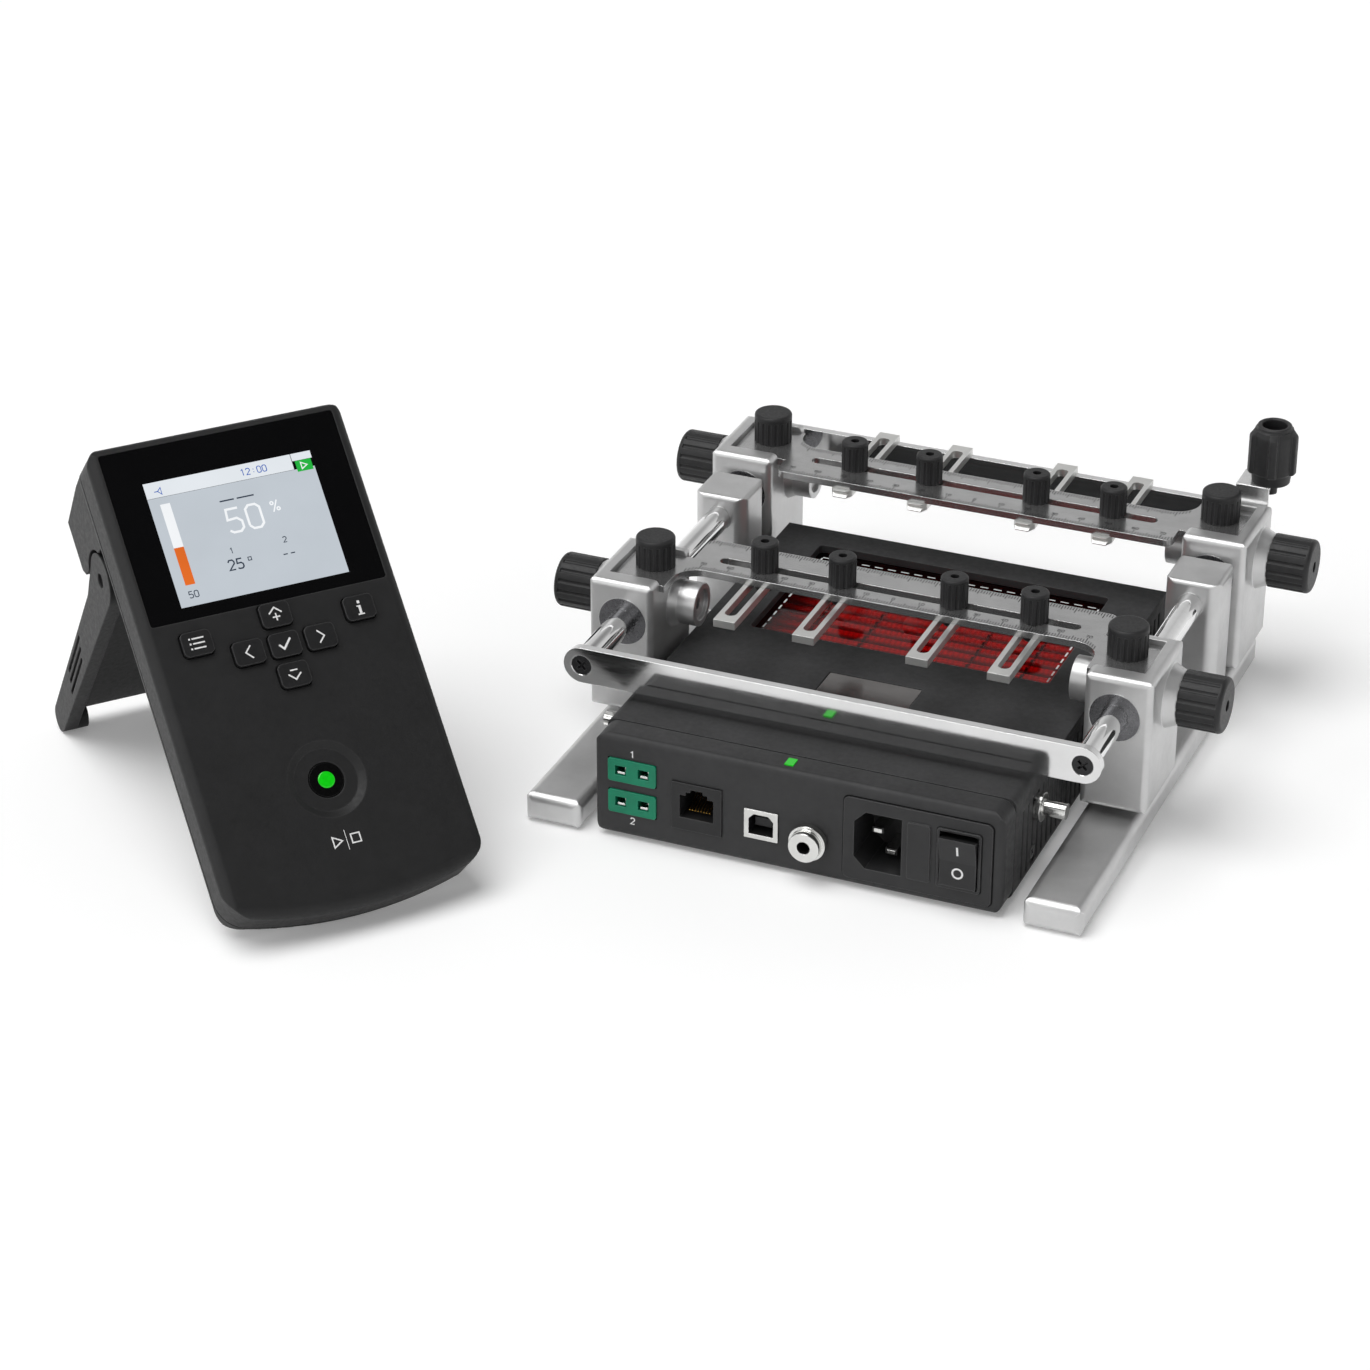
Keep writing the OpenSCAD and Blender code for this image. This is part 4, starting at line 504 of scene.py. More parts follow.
def ring(x, y, radius, width, count=32):
    return strip([(x + dx, y + dy) for dx, dy in circle(radius, count)], width, True)


def rect(x0, y0, x1, y1):
    return [[Vector((x0, y0)), Vector((x1, y0)), Vector((x1, y1)), Vector((x0, y1))]]


def rounded(x0, y0, x1, y1, radius, width, steps=6):
    """Line round a rectangle with round corners."""
    corners = ((x1 - radius, y1 - radius, 0), (x0 + radius, y1 - radius, 90), (x0 + radius, y0 + radius, 180),
               (x1 - radius, y0 + radius, 270))
    path = []
    for x, y, first in corners:
        for i in range(steps + 1):
            angle = math.radians(first + 90 * i / steps)
            path.append((x + radius * math.cos(angle), y + radius * math.sin(angle)))
    return strip(path, width, True)


# Strokes of the figures, in shares of a figure's height
DIGITS = {
    "0": [[(0, .15), (0, .85), (.15, 1), (.45, 1), (.6, .85), (.6, .15), (.45, 0), (.15, 0), (0, .15)]],
    "1": [[(.1, .78), (.35, 1), (.35, 0)]],
    "2": [[(0, .8), (.14, 1), (.46, 1), (.6, .82), (.6, .62), (0, 0), (.6, 0)]],
    "3": [[(0, .88), (.15, 1), (.45, 1), (.6, .86), (.6, .64), (.45, .52), (.22, .52)],
          [(.45, .52), (.6, .38), (.6, .14), (.45, 0), (.15, 0), (0, .12)]],
    "4": [[(.45, 0), (.45, 1), (0, .3), (.6, .3)]],
    "5": [[(.56, 1), (.06, 1), (.02, .55), (.42, .58), (.6, .42), (.6, .14), (.45, 0), (.14, 0), (0, .1)]],
    "6": [[(.55, .95), (.4, 1), (.15, 1), (0, .8), (0, .15), (.14, 0), (.46, 0), (.6, .15), (.6, .42),
           (.46, .56), (.14, .56), (0, .42)]],
    "7": [[(0, 1), (.6, 1), (.22, 0)]],
    "-": [[(.05, .5), (.55, .5)]],
    "%": [[(.62, 1), (.12, 0)]],
}
DIGIT_WIDTH, DIGIT_STEP = 0.6, 0.86
PERCENT_RINGS, PERCENT_RADIUS = ((0.14, 0.78), (0.6, 0.22)), 0.13


def number(text, x, y, height, width):
    """Figures in a row, with their middle at x and their foot at y."""
    step = height * DIGIT_STEP
    start = x - (step * (len(text) - 1) + DIGIT_WIDTH * height) / 2
    shapes = []
    for i, sign in enumerate(text):
        left = start + i * step
        for path in DIGITS[sign]:
            shapes += strip([(left + px * height, y + py * height) for px, py in path], width)
        if sign == "%":
            for px, py in PERCENT_RINGS:
                shapes += ring(left + px * height, y + py * height, PERCENT_RADIUS * height, width, 16)
    return shapes


TREES = {}


def search_tree(node):
    """Search tree of a node's mesh, made once."""
    if node not in TREES:
        mesh = NODES[node].data
        corners = [v.co.copy() for v in mesh.vertices]
        TREES[node] = BVHTree.FromPolygons(corners, [tuple(p.vertices) for p in mesh.polygons])
    return TREES[node]


def marks(name, shapes, place, out, node, body, material, lift=0.02, tolerance=None):
    """Printed marks: flat shapes laid on a node's surface. place(x, y) gives a point in front of the surface,
    and out is the direction that it faces. Shapes that miss the surface, or leave its plane, are left out."""
    found = search_tree(node)
    verts, faces = [], []
    for k, shape in enumerate(shapes):
        corners = []
        for x, y in shape:
            hit, _, _, distance = found.ray_cast(place(x, y) + out * RAY_START, -out)
            if hit is None or (tolerance is not None and abs(distance - RAY_START) > tolerance):
                break
            corners.append(hit + out * ((lift + MARK_LAYER * (k % MARK_LAYERS)) / 1000))
        if len(corners) == len(shape):
            first = len(verts)
            verts += corners
            faces.append(tuple(range(first, first + len(corners))))
    printed = piece(name, verts, faces, material, body)
    face_out(printed.data, out)


def face_out(mesh, out):
    """Turn each face of a flat mesh to the side that out points to."""
    shape = bmesh.new()
    shape.from_mesh(mesh)
    for face in shape.faces:
        face.normal_update()
        if face.normal.dot(out) < 0:
            face.normal_flip()
    shape.to_mesh(mesh)
    shape.free()


# Board holder: screws, sensor holder and graduations

# Rod axes, outer faces of the tie bars, and how deep a screw's head lies under the face
ROD_X, ROD_Z = 88.4, 48.9
BAR_FRONT_Y, BAR_REAR_Y = 26.8, 222.4
BAR_SCREW_D, BAR_SCREW_SUNK = 7.2, 0.15
# Sensor knob: height, core and rib radius of each ring, from the foot over the collar down into the bore
KNOB_RINGS = (
    (65.2, 2.5, 2.5), (69.8, 2.5, 2.5), (69.8, 6.8, 6.8), (73.4, 7.2, 7.2), (73.7, 7.3, 8.4),
    (74.1, 7.5, 8.8), (87.8, 7.5, 8.8), (88.5, 7.4, 8.6), (90.2, 6.8, 7.2), (90.4, 6.3, 6.4),
    (91.4, 6.1, 6.1), (91.7, 5.7, 5.7), (91.7, 4.9, 4.9), (91.3, 4.5, 4.5), (81.0, 4.3, 4.3),
)
# Ribs of the sensor knob: their number, half width, soft flank, and the direction of the first in degrees
RIBS, RIB_HALF, RIB_FLANK, RIB_FIRST = 5, 1.2, 1.0, -76
KNOB_STEPS = 180
# Graduations, a millimetre apart: reach to each side, lengths by rank, line width, gap to the plate's edge
RULER_REACH = 74
TICK_TEN, TICK_FIVE, TICK_ONE = 3.6, 3.0, 2.1
TICK_WIDTH, TICK_GAP = 0.3, 0.3
FIGURE_IN, FIGURE_HEIGHT, FIGURE_LINE = 4.0, 1.5, 0.26
# Step of the search for a plate's edges
SCAN_STEP = 0.25


def tie_bar_screws():
    for side, x in (("left", -ROD_X), ("right", ROD_X)):
        screw("bar_screw_front_" + side, holder(x, BAR_FRONT_Y + BAR_SCREW_SUNK, ROD_Z), FRONT, BAR_SCREW_D)
        screw("bar_screw_rear_" + side, holder(x, BAR_REAR_Y - BAR_SCREW_SUNK, ROD_Z), BACK, BAR_SCREW_D)


def ribbed_knob():
    """Sensor knob: hub, ribs with chamfered tops, collar and bore, about its joint's axis."""
    axis = next(j for j in frame["joints"] if j["name"] == "sensor_knob_turn")["pos_m"]
    pitch = 360 / RIBS
    verts = []
    for z, core, rib in KNOB_RINGS:
        for i in range(KNOB_STEPS):
            angle = 360 * i / KNOB_STEPS
            off_rib = abs((angle - RIB_FIRST + pitch / 2) % pitch - pitch / 2)
            arc = math.radians(off_rib) * rib
            share = min(1.0, max(0.0, (RIB_HALF + RIB_FLANK - arc) / RIB_FLANK))
            radius = (core + (rib - core) * share * share * (3 - 2 * share)) / 1000
            turn = math.radians(angle)
            verts.append((axis[0] + radius * math.cos(turn), axis[1] + radius * math.sin(turn), z / 1000))
    knob = piece("sensor_knob_ribbed", verts, skin(len(KNOB_RINGS), KNOB_STEPS), "knob_black", "sensor_knob")
    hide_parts("sensor_knob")


def plate_edges(node, x, low, high, top):
    """First and last y where the node's top plane, at top in metres, is met along a line of constant x."""
    hits = []
    for i in range(int((high - low) / SCAN_STEP) + 1):
        y = low + i * SCAN_STEP
        start = Vector((x / 1000, y / 1000, top + RAY_START))
        hit, _, _, distance = search_tree(node).ray_cast(start, -UP)
        if hit is not None and distance < RAY_START + PLANE_TOLERANCE:
            hits.append(y)
    return (hits[0], hits[-1]) if hits else None


def graduations(name, body):
    """Ticks from a ruler plate's front and rear edges inwards, with a figure every ten."""
    low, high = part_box(name)
    top = high[2]
    middle = UNIT_X + HOLDER_X
    shapes = []
    for i in range(-RULER_REACH, RULER_REACH + 1):
        x = middle + i
        edges = plate_edges(name, x, low[1] * 1000, high[1] * 1000, top)
        if edges is None:
            continue
        length = TICK_TEN if i % 10 == 0 else (TICK_FIVE if i % 5 == 0 else TICK_ONE)
        first, last = edges[0] + TICK_GAP, edges[1] - TICK_GAP
        shapes += rect(x - TICK_WIDTH / 2, first, x + TICK_WIDTH / 2, first + length)
        shapes += rect(x - TICK_WIDTH / 2, last - length, x + TICK_WIDTH / 2, last)
        if i % 10 == 0:
            shapes += number(str(abs(i)), x, first + FIGURE_IN, FIGURE_HEIGHT, FIGURE_LINE)
    marks("graduations_" + name.split("_")[0], shapes, lambda x, y: Vector((x / 1000, y / 1000, top)), UP,
          name, body, "mark_dark", tolerance=PLANE_TOLERANCE)


# Heater: screws, window, sockets, plate and painted gap shade

WALL_SCREW_X, WALL_SCREW_Y, WALL_SCREW_Z, WALL_SCREW_D = 72.1, 30.6, 9, 5
# Dashed border on the glass: its lines, dash length and pitch, line width, first dash along the sides
GLASS_TOP = 32.5
BORDER_X, BORDER_FRONT_Y, BORDER_REAR_Y = 52.5, 101, 161.5
DASH, DASH_PITCH, DASH_WIDTH, SIDE_DASH_START = 3, 5.04, 0.6, 1.5
DASHES_ACROSS, DASHES_ALONG = 21, 12
# Clips over the tubes: places, bends, section, and how far they stand over and under the tubes' crowns
CLIP_PITCH, CLIPS_PER_SIDE, CLIP_BENDS = 20, 2, 24
CLIP_WIDTH, CLIP_HEIGHT, CLIP_OVER, CLIP_UNDER = 1.0, 0.5, 0.7, -0.6
# Signal sockets: finish and reach in x, by which their faces are told apart
SIGNAL_SOCKETS = {"network_socket": ("socket_black", -60, -23), "data_socket": ("socket_metal", -23, -4.5),
                  "pedal_jack": ("pin_metal", -4.5, 20)}
# Dark inside of the data socket and of the jack: half sizes or radius, and the y of its mouth
DATA_HALF_W, DATA_HALF_H, DATA_MOUTH_Y = 4.5, 3.9, -0.5
JACK_BORE_R, JACK_MOUTH_Y = 2.3, -5.9
# Corners under this angle, in radians, are flat
FLAT_ANGLE = 0.01
# Spring contacts: number, pitch, section, front and rear ends
SPRINGS, SPRING_PITCH, SPRING_W, SPRING_H = 8, 1.02, 0.4, 0.3
SPRING_FRONT_Y, SPRING_REAR_Y = 2.2, 9.7
SPRING_FRONT_Z, SPRING_REAR_Z = NETWORK_Z - 2.45, NETWORK_Z + 0.95
# Flat contacts: length of the chamfered tip and how far it narrows
TIP_LENGTH, TIP_NARROW = 0.8, 0.35
# Mains pins, from the middle of the inlet: places, ends and section
MAINS_PINS = ((2.06, -7.07), (2.06, 7.07), (-2.75, 0))
MAINS_PIN_FRONT_Y, MAINS_PIN_REAR_Y, MAINS_PIN_W, MAINS_PIN_H = 7.0, 18.3, 4.15, 2.15
THERMOCOUPLE_PITCH, THERMOCOUPLE_REAR_Y = 8.24, 9
# Bare plate on the top cover, and its border
PLATE_W, PLATE_FRONT_Y, PLATE_REAR_Y, PLATE_MIDDLE_Z, PLATE_H = 33.4, 59.9, 75.3, 35.15, 0.4
PLATE_BORDER_IN, PLATE_BORDER_W, PLATE_BORDER_LIFT = 1.0, 1.7, 0.43
# Painted shade line round the power inlet's plate: corners, corner radius and line width
INLET_LEFT, INLET_FOOT, INLET_RIGHT, INLET_TOP = 16.8, 3.7, 68.6, 34.7
INLET_CORNER, INLET_SHADE_W = 2.2, 0.45
# Painted shade line round the rocker's rim: width, height, corner radius and line width
ROCKER_RIM_W, ROCKER_RIM_H, ROCKER_CORNER, ROCKER_SHADE_W = 15.6, 22.4, 1.2, 0.3
# Feet of the figures over and under the thermocouple sockets
SOCKET_FIGURE_H, SOCKET_FIGURE_LINE = 2.3, 0.42
SOCKET_FIGURE_Z = (("1", 31.8), ("2", 6.3))


def wall_screws():
    screw("wall_screw_left", unit(-WALL_SCREW_X, WALL_SCREW_Y, WALL_SCREW_Z), LEFT, WALL_SCREW_D)
    screw("wall_screw_right", unit(WALL_SCREW_X, WALL_SCREW_Y, WALL_SCREW_Z), RIGHT, WALL_SCREW_D)


def window_border():
    shapes = []
    half = DASH_WIDTH / 2
    for y in (BORDER_FRONT_Y, BORDER_REAR_Y):
        for i in range(DASHES_ACROSS):
            x = -BORDER_X + i * DASH_PITCH
            shapes += rect(x, y - half, x + DASH, y + half)
    for x in (-BORDER_X, BORDER_X):
        for i in range(DASHES_ALONG):
            y = BORDER_FRONT_Y + i * DASH_PITCH + SIDE_DASH_START
            shapes += rect(x - half, y, x + half, y + DASH)
    marks("window_border", shapes, lambda x, y: unit(x, y, GLASS_TOP), UP, "window_glass", "base",
          "mark_white")


def tube_clips():
    """Wires that run up and down over the tubes and hold them."""
    low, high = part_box("ir_emitters")
    front, rear, crown = low[1] * 1000 - UNIT_Y, high[1] * 1000 - UNIT_Y, high[2] * 1000
    verts, faces = [], []
    for i in range(-CLIPS_PER_SIDE, CLIPS_PER_SIDE + 1):
        sections = []
        for j in range(CLIP_BENDS + 1):
            y = front + (rear - front) * j / CLIP_BENDS
            foot = crown + (CLIP_OVER if j % 2 == 0 else CLIP_UNDER)
            sections.append((i * CLIP_PITCH, y, foot + CLIP_HEIGHT / 2, CLIP_WIDTH, CLIP_HEIGHT))
        add_bar(verts, faces, sections)
    piece("tube_clips", verts, faces, "reflector_metal", "base")


def inside_socket(name, point):
    """Whether a point of a socket, in metres, lies in its dark inside."""
    x, y, z = point.x * 1000 - UNIT_X, point.y * 1000 - UNIT_Y, point.z * 1000
    if name == "data_socket":
        return abs(x - DATA_X) < DATA_HALF_W and abs(z - DATA_Z) < DATA_HALF_H and y > DATA_MOUTH_Y
    if name == "pedal_jack":
        return math.hypot(x - JACK_X, z - JACK_Z) < JACK_BORE_R and y > JACK_MOUTH_Y
    return False


def signal_sockets():
    """Three pieces cut from the node by their place, each with its own finish."""
    node = NODES["signal_sockets"].data
    for name, (material, left, right) in SIGNAL_SOCKETS.items():
        kept = {}
        faces = []
        for polygon in node.polygons:
            middle = sum(node.vertices[i].co.x for i in polygon.vertices) / len(polygon.vertices)
            if left <= middle * 1000 - UNIT_X < right:
                faces.append(tuple(kept.setdefault(i, len(kept)) for i in polygon.vertices))
        verts = [node.vertices[i].co.copy() for i in kept]
        socket = piece(name, verts, faces, material, "base")
        shape = bmesh.new()
        shape.from_mesh(socket.data)
        bmesh.ops.remove_doubles(shape, verts=shape.verts, dist=WELD_DISTANCE)
        bmesh.ops.dissolve_limit(shape, angle_limit=FLAT_ANGLE, verts=shape.verts, edges=shape.edges)
        shape.to_mesh(socket.data)
        shape.free()
        socket.data.materials.append(MAT["socket_black"])
        for polygon in socket.data.polygons:
            polygon.material_index = 1 if inside_socket(name, polygon.center) else 0
        soften(socket, 0.0003 if name == "pedal_jack" else 0.00015)
        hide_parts("signal_sockets")


def network_contacts():
    """Row of spring contacts that rise to the back."""
    verts, faces = [], []
    for i in range(SPRINGS):
        x = NETWORK_X + (i - (SPRINGS - 1) / 2) * SPRING_PITCH
        add_bar(verts, faces, ((x, SPRING_FRONT_Y, SPRING_FRONT_Z, SPRING_W, SPRING_H),
                               (x, SPRING_REAR_Y, SPRING_REAR_Z, SPRING_W, SPRING_H)))
    piece("network_contacts", verts, faces, "contact_gold", "base")


def add_blade(verts, faces, x, front, rear, z, width, height, narrow=TIP_NARROW):
    """Flat contact whose front end is chamfered."""
    tip = 1 - narrow
    add_bar(verts, faces, ((x, front, z, width * tip, height * tip),
                           (x, front + TIP_LENGTH, z, width, height), (x, rear, z, width, height)))


def mains_pins():
    verts, faces = [], []
    for x, z in MAINS_PINS:
        add_blade(verts, faces, MAINS_X + x, MAINS_PIN_FRONT_Y, MAINS_PIN_REAR_Y, MAINS_Z + z, MAINS_PIN_W,
                  MAINS_PIN_H)
    piece("mains_pins", verts, faces, "socket_metal", "base")


def thermocouple_contacts():
    """In each opening of the sockets, a flat blade and an upright one."""
    verts, faces = [], []
    for z in THERMOCOUPLE_Z:
        for side in (-1, 1):
            x = THERMOCOUPLE_X + side * THERMOCOUPLE_PITCH / 2
            add_blade(verts, faces, x + 0.1, -0.15, THERMOCOUPLE_REAR_Y, z - 1.0, 3.3, 1.0, 0.2)
            add_blade(verts, faces, x + 1.25, 1.2, THERMOCOUPLE_REAR_Y, z + 0.45, 0.9, 1.9)
    piece("thermocouple_contacts", verts, faces, "socket_metal", "base")


def bare_plate():
    """Bare steel plate in the recess of the top cover, with a matt border."""
    verts, faces = [], []
    add_bar(verts, faces, [(0, y, PLATE_MIDDLE_Z, PLATE_W, PLATE_H) for y in (PLATE_FRONT_Y, PLATE_REAR_Y)])
    soften(piece("bare_plate", verts, faces, "label_steel", "base"), 0.00012)
    side = PLATE_W / 2 - PLATE_BORDER_IN
    front, rear = PLATE_FRONT_Y + PLATE_BORDER_IN, PLATE_REAR_Y - PLATE_BORDER_IN
    border = strip([(-side, front), (side, front), (side, rear), (-side, rear)], PLATE_BORDER_W, True)
    marks("plate_border", border, lambda x, y: unit(x, y, PLATE_MIDDLE_Z), UP, "top_cover", "base",
          "label_frame", lift=PLATE_BORDER_LIFT)


def seams():
    """Thin dark lines painted as shade in the gaps round the power inlet's plate and the rocker's rim."""
    inlet = rounded(INLET_LEFT, INLET_FOOT, INLET_RIGHT, INLET_TOP, INLET_CORNER, INLET_SHADE_W)
    marks("inlet_gap_shade", inlet, lambda x, z: unit(x, -3, z), FRONT, "front_panel", "base", "painted_gap_shade")
    half_w, half_h = ROCKER_RIM_W / 2, ROCKER_RIM_H / 2
    rocker = rounded(ROCKER_X - half_w, ROCKER_Z - half_h, ROCKER_X + half_w, ROCKER_Z + half_h,
                     ROCKER_CORNER, ROCKER_SHADE_W)
    marks("rocker_gap_shade", rocker, lambda x, z: unit(x, -6, z), FRONT, "power_inlet", "base", "painted_gap_shade")


def panel_marks():
    """Line and ring on the rocker, and the sockets' figures."""
    for name, shapes in (("switch_marks_on", rect(-0.35, 2.6, 0.35, 6.2)),
                         ("switch_marks_off", ring(0, -4.4, 1.7, 0.65))):
        marks(name, shapes, lambda x, z: unit(ROCKER_X + x, -6, ROCKER_Z + z), FRONT, "rocker_switch",
              "rocker_switch", "mark_white", lift=0.04)
    figures = []
    for text, foot in SOCKET_FIGURE_Z:
        figures += number(text, THERMOCOUPLE_X, foot, SOCKET_FIGURE_H, SOCKET_FIGURE_LINE)
    marks("socket_numbers", figures, lambda x, z: unit(x, -1, z), FRONT, "front_panel", "base", "mark_white",
          lift=0.04)


# Console: signs, start button and lit screen

# Marks on the console are looked for from this far in front of its face
CONSOLE_FRONT = 2
# Middle of each key on the face
KEYS = {"menu": (-28.4, 96.9), "info": (28.4, 96.9), "ok": (0, 90.1), "up": (0, 100.7), "down": (0, 79.5),
        "left": (-12.6, 90.1), "right": (12.6, 90.1)}
# Signs of the keys, from the middle of each: three lines with bullets, an i, a tick and four arrows
ARROW_LINE = 0.5
MENU_ROWS = (-1.7, 0, 1.7)
SIGNS = {
    "menu": [shape for y in MENU_ROWS
             for shape in rect(-1.5, y - 0.25, 2.6, y + 0.25) + rect(-2.6, y - 0.3, -2.0, y + 0.3)],
    "info": (rect(-0.45, -2.2, 0.45, 0.6) + rect(-0.45, 1.3, 0.45, 2.3) + rect(-1.1, -2.7, 1.1, -2.25)
             + rect(-1.0, 0.15, -0.5, 0.6)),
    "ok": strip([(-2.1, 0.1), (-0.7, -1.5), (2.2, 1.8)], 0.7),
    "up": (strip([(-2.2, 0.4), (0, 2.4), (2.2, 0.4)], ARROW_LINE) + rect(-0.24, -2.2, 0.24, 0.4)
           + rect(-1.3, -1.14, -0.26, -0.66) + rect(0.26, -1.14, 1.3, -0.66)),
    "down": strip([(-2.2, 0.2), (0, -1.8), (2.2, 0.2)], ARROW_LINE) + rect(-1.3, 1.2, 1.3, 1.68),
    "left": strip([(1.0, 2.2), (-1.1, 0), (1.0, -2.2)], ARROW_LINE),
    "right": strip([(-1.0, 2.2), (1.1, 0), (-1.0, -2.2)], ARROW_LINE),
}
# Signs under the start button: a run arrow, a thin line and a stop square
START_LINE = 0.45
START_SIGNS = (strip([(-4.6, 20.2), (-4.6, 23.8), (-1.5, 22.0)], START_LINE, True)
               + rect(-0.1, 18.6, 0.1, 25.4)
               + strip([(1.7, 20.5), (4.7, 20.5), (4.7, 23.5), (1.7, 23.5)], START_LINE, True))
# Lens of the start button: place on the face, depth of its foot, and its profile of radius and height
LENS_V, LENS_FOOT = 43.2, -1.15
LENS_PROFILE = ((2.8, 0.0), (2.8, 0.28), (2.7, 0.36), (2.3, 0.42), (1.7, 0.46), (0.9, 0.49), (0.1, 0.5))
# Lit screen: right and upper edge from its middle, and the height of that middle on the face
SCREEN_R, SCREEN_T, SCREEN_V = 29.4, 22.05, 132


def key_signs():
    for key, (u, v) in KEYS.items():
        marks("sign_" + key, SIGNS[key], lambda x, y: console(u + x, v + y, CONSOLE_FRONT), CONSOLE_OUT,
              "key_" + key, "key_" + key, "mark_white", lift=0.03)


def start_signs():
    marks("start_signs", START_SIGNS, lambda x, y: console(x, y, CONSOLE_FRONT), CONSOLE_OUT, "console_face",
          "base", "mark_white", lift=0.03)


def start_lens():
    verts, faces = lathe(LENS_PROFILE, console(0, LENS_V, LENS_FOOT), CONSOLE_OUT)
    lens = piece("start_lens", verts, faces, "lens_green", "start_button")
    for polygon in lens.data.polygons:
        polygon.use_smooth = True


def screen(name, shapes, material, lift):
    marks(name, shapes, lambda x, y: console(x, SCREEN_V + y, CONSOLE_FRONT), CONSOLE_OUT, "console_display",
          "base", material, lift=lift)


def lit_screen():
    """Panel, head bar with a run sign and a clock, gauge, large figures and small ones."""
    left, right, top = -SCREEN_R, SCREEN_R, SCREEN_T
    gauge_left, gauge_right, gauge_foot, gauge_level, gauge_top = left + 3.6, left + 7.0, -14.8, -1.6, 14.0
    screen("screen_panel", rect(left, -top, right, top - 5.6), "screen_panel", 0.02)
    screen("screen_head", rect(left, top - 5.5, right - 7.2, top) + rect(right - 7.0, top - 2.6, right, top),
           "screen_bar", 0.02)
    screen("screen_run", rect(right - 6.2, top - 6.6, right - 0.6, top - 2.7), "screen_green", 0.05)
    run_arrow = [(right - 4.4, top - 5.8), (right - 4.4, top - 3.5), (right - 2.4, top - 4.65)]
    screen("screen_run_sign", strip(run_arrow, 0.35, True), "screen_white", 0.08)
    screen("screen_gauge", rect(gauge_left, gauge_level, gauge_right, gauge_top), "screen_white", 0.05)
    screen("screen_level", rect(gauge_left, gauge_foot, gauge_right, gauge_level), "screen_orange", 0.05)
    screen("screen_figures", number("50", 0.5, -0.5, 8.2, 0.8) + number("%", 11.6, 3.6, 4.0, 0.45),
           "screen_white", 0.06)
    small = number("50", left + 5.4, -19.3, 2.2, 0.32)
    small += number("25", -7.2, -13.0, 3.4, 0.5) + number("1", -7.2, -7.4, 1.9, 0.3)
    small += number("--", 11.5, -13.0, 3.0, 0.4) + number("2", 11.5, -7.4, 1.9, 0.3)
    small += strip([(-2.6, -9.8), (-2.6, -10.9), (-1.5, -10.9), (-1.5, -9.8)], 0.3, True)
    small += rect(-6, 10.6, -1, 11.1) + rect(0, 10.6, 6, 11.1)
    screen("screen_small", small, "screen_dark", 0.06)
    speaker = [(left + 3, top - 3.4), (left + 4.2, top - 3.4), (left + 5.4, top - 2.2),
               (left + 5.4, top - 4.6), (left + 4.2, top - 3.4)]
    colon = rect(8.35, top - 3.6, 8.65, top - 3.3) + rect(8.35, top - 2.6, 8.65, top - 2.3)
    clock = number("12", 5.6, top - 4.0, 2.2, 0.3) + colon + number("00", 11.4, top - 4.0, 2.2, 0.3)
    screen("screen_clock", strip(speaker, 0.3) + clock, "screen_blue", 0.06)


# Floor, world, lights and camera, with sizes and places in metres

FLOOR_HALF, FLOOR_Z = 6, -0.0003
FLOOR_TONE, FLOOR_LIFT = 0.9, 0.15
# Tones of the world from the horizon, 0, to straight up, 1: pale walls, a dark ceiling, soft light overhead
WORLD_TONES = ((0.0, 1.0), (0.1, 0.9), (0.3, 0.75), (0.5, 0.66), (0.6, 0.25), (0.68, 0.05), (0.9, 0.05),
               (1.0, 0.4))
SKY_POWER, SKY_ANGLE, SKY_DIRECTION = 2.1, math.radians(50), Vector((0.25, 0.2, -1))
LAMP_POWER, LAMP_SIZE = 4.5, 0.9
LAMP_PLACE, LAMP_TARGET = Vector((-1.0, -1.5, 0.9)), Vector((0.0, 0.0, 0.05))
# Camera: lens and sensor in mm, place in mm in the heater's frame, turn about z, tilt and roll in degrees
LENS, SENSOR = 106.2317, 36
CAMERA_PLACE = (408.847, -1071.125, 693.889)
CAMERA_TURN, CAMERA_TILT, CAMERA_ROLL = 22.7056, 61.4943, 0.0444


def add_floor():
    """Pale floor that keeps shadows and shows a little brighter to the eye, in metal and through glass."""
    mesh = bpy.data.meshes.new("floor")
    corners = [(x * FLOOR_HALF, y * FLOOR_HALF, FLOOR_Z) for x, y in ((-1, -1), (1, -1), (1, 1), (-1, 1))]
    mesh.from_pydata(corners, [], [(0, 1, 2, 3)])
    floor = bpy.data.objects.new("floor", mesh)
    bpy.context.scene.collection.objects.link(floor)
    material = bpy.data.materials.new("floor_white")
    material.use_nodes = True
    tree = material.node_tree
    tree.nodes.clear()
    diffuse = tree.nodes.new("ShaderNodeBsdfDiffuse")
    diffuse.inputs["Color"].default_value = (FLOOR_TONE, FLOOR_TONE, FLOOR_TONE, 1)
    emission = tree.nodes.new("ShaderNodeEmission")
    emission.inputs["Color"].default_value = (1, 1, 1, 1)
    path = tree.nodes.new("ShaderNodeLightPath")
    seen = path.outputs["Is Camera Ray"]
    for ray in ("Is Glossy Ray", "Is Transmission Ray"):
        either = tree.nodes.new("ShaderNodeMath")
        either.operation = "MAXIMUM"
        tree.links.new(seen, either.inputs[0])
        tree.links.new(path.outputs[ray], either.inputs[1])
        seen = either.outputs[0]
    lift = tree.nodes.new("ShaderNodeMath")
    lift.operation = "MULTIPLY"
    lift.inputs[1].default_value = FLOOR_LIFT
    tree.links.new(seen, lift.inputs[0])
    tree.links.new(lift.outputs[0], emission.inputs["Strength"])
    both = tree.nodes.new("ShaderNodeAddShader")
    tree.links.new(diffuse.outputs[0], both.inputs[0])
    tree.links.new(emission.outputs[0], both.inputs[1])
    output = tree.nodes.new("ShaderNodeOutputMaterial")
    tree.links.new(both.outputs[0], output.inputs["Surface"])
    mesh.materials.append(material)


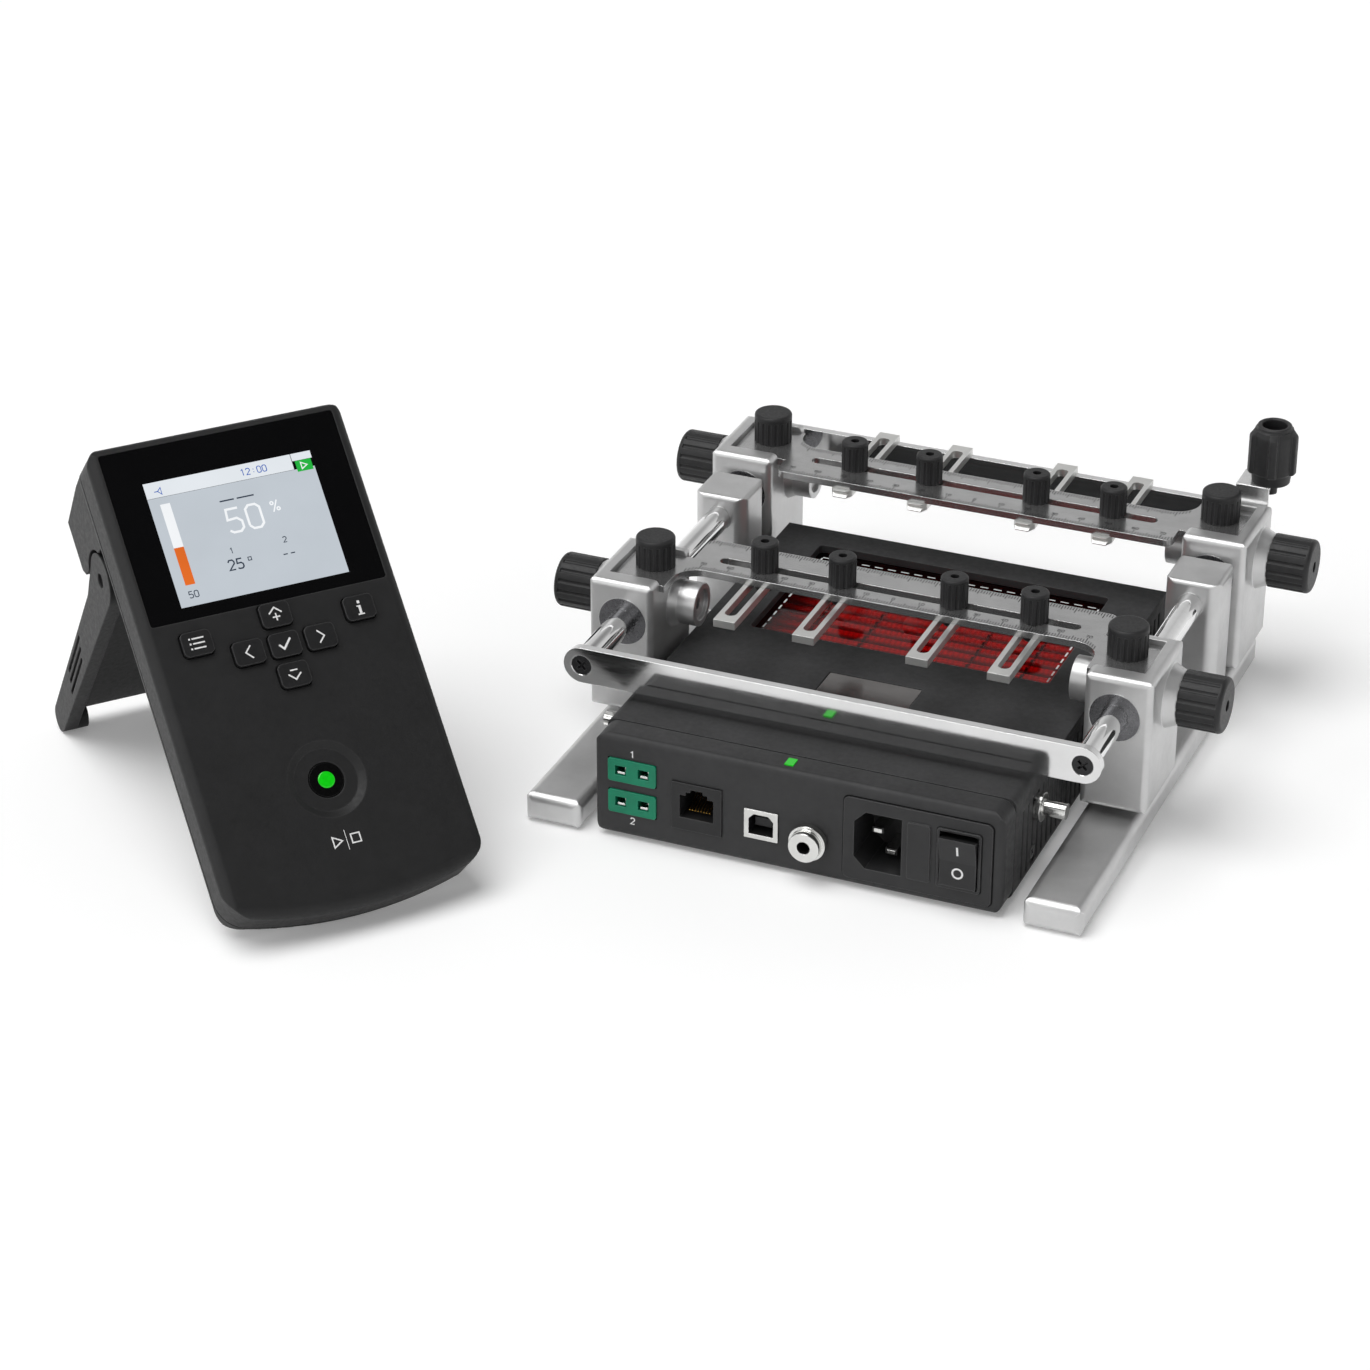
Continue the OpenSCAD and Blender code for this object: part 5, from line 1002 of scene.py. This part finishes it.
def add_world():
    world = bpy.data.worlds.new("studio")
    bpy.context.scene.world = world
    world.use_nodes = True
    tree = world.node_tree
    tree.nodes.clear()
    direction = tree.nodes.new("ShaderNodeTexCoord")
    height = tree.nodes.new("ShaderNodeSeparateXYZ")
    ramp = tree.nodes.new("ShaderNodeValToRGB")
    stops = ramp.color_ramp.elements
    for place, _ in WORLD_TONES[1:-1]:
        stops.new(place)
    for stop, (place, tone) in zip(stops, WORLD_TONES):
        stop.position = place
        stop.color = (tone, tone, tone, 1)
    background = tree.nodes.new("ShaderNodeBackground")
    output = tree.nodes.new("ShaderNodeOutputWorld")
    tree.links.new(direction.outputs["Generated"], height.inputs[0])
    tree.links.new(height.outputs["Z"], ramp.inputs["Fac"])
    tree.links.new(ramp.outputs["Color"], background.inputs["Color"])
    tree.links.new(background.outputs[0], output.inputs["Surface"])


def add_lights():
    """A broad overhead light, and a lamp from the left of the camera."""
    sun = bpy.data.lights.new("sky_light", "SUN")
    sun.energy = SKY_POWER
    sun.angle = SKY_ANGLE
    sky = bpy.data.objects.new("sky_light", sun)
    bpy.context.scene.collection.objects.link(sky)
    sky.rotation_euler = SKY_DIRECTION.to_track_quat("-Z", "Y").to_euler()
    area = bpy.data.lights.new("left_light", "AREA")
    area.shape = "SQUARE"
    area.size = LAMP_SIZE
    area.energy = LAMP_POWER
    lamp = bpy.data.objects.new("left_light", area)
    bpy.context.scene.collection.objects.link(lamp)
    lamp.location = LAMP_PLACE
    lamp.rotation_euler = (LAMP_TARGET - LAMP_PLACE).to_track_quat("-Z", "Y").to_euler()


def add_camera():
    lens = bpy.data.cameras.new("camera")
    lens.lens = LENS
    lens.sensor_width = SENSOR
    lens.sensor_fit = "HORIZONTAL"
    lens.clip_start = 0.05
    camera = bpy.data.objects.new("camera", lens)
    bpy.context.scene.collection.objects.link(camera)
    turn = Matrix.Rotation(math.radians(CAMERA_TURN), 4, "Z")
    tilt = Matrix.Rotation(math.radians(CAMERA_TILT), 4, "X")
    roll = Matrix.Rotation(math.radians(CAMERA_ROLL), 4, "Z")
    camera.matrix_world = Matrix.Translation(unit(*CAMERA_PLACE)) @ turn @ tilt @ roll
    bpy.context.scene.camera = camera
    bpy.context.scene.view_settings.view_transform = "Standard"


finish_nodes()
tie_bar_screws()
soften(NODES["sensor_bracket"], 0.0006, 3)
wall_screws()
ribbed_knob()
graduations("front_ruler", "front_carriage")
graduations("rear_ruler", "rear_carriage")
window_border()
tube_clips()
signal_sockets()
network_contacts()
mains_pins()
thermocouple_contacts()
bare_plate()
seams()
panel_marks()
key_signs()
start_signs()
start_lens()
lit_screen()
add_floor()
add_world()
add_lights()
add_camera()
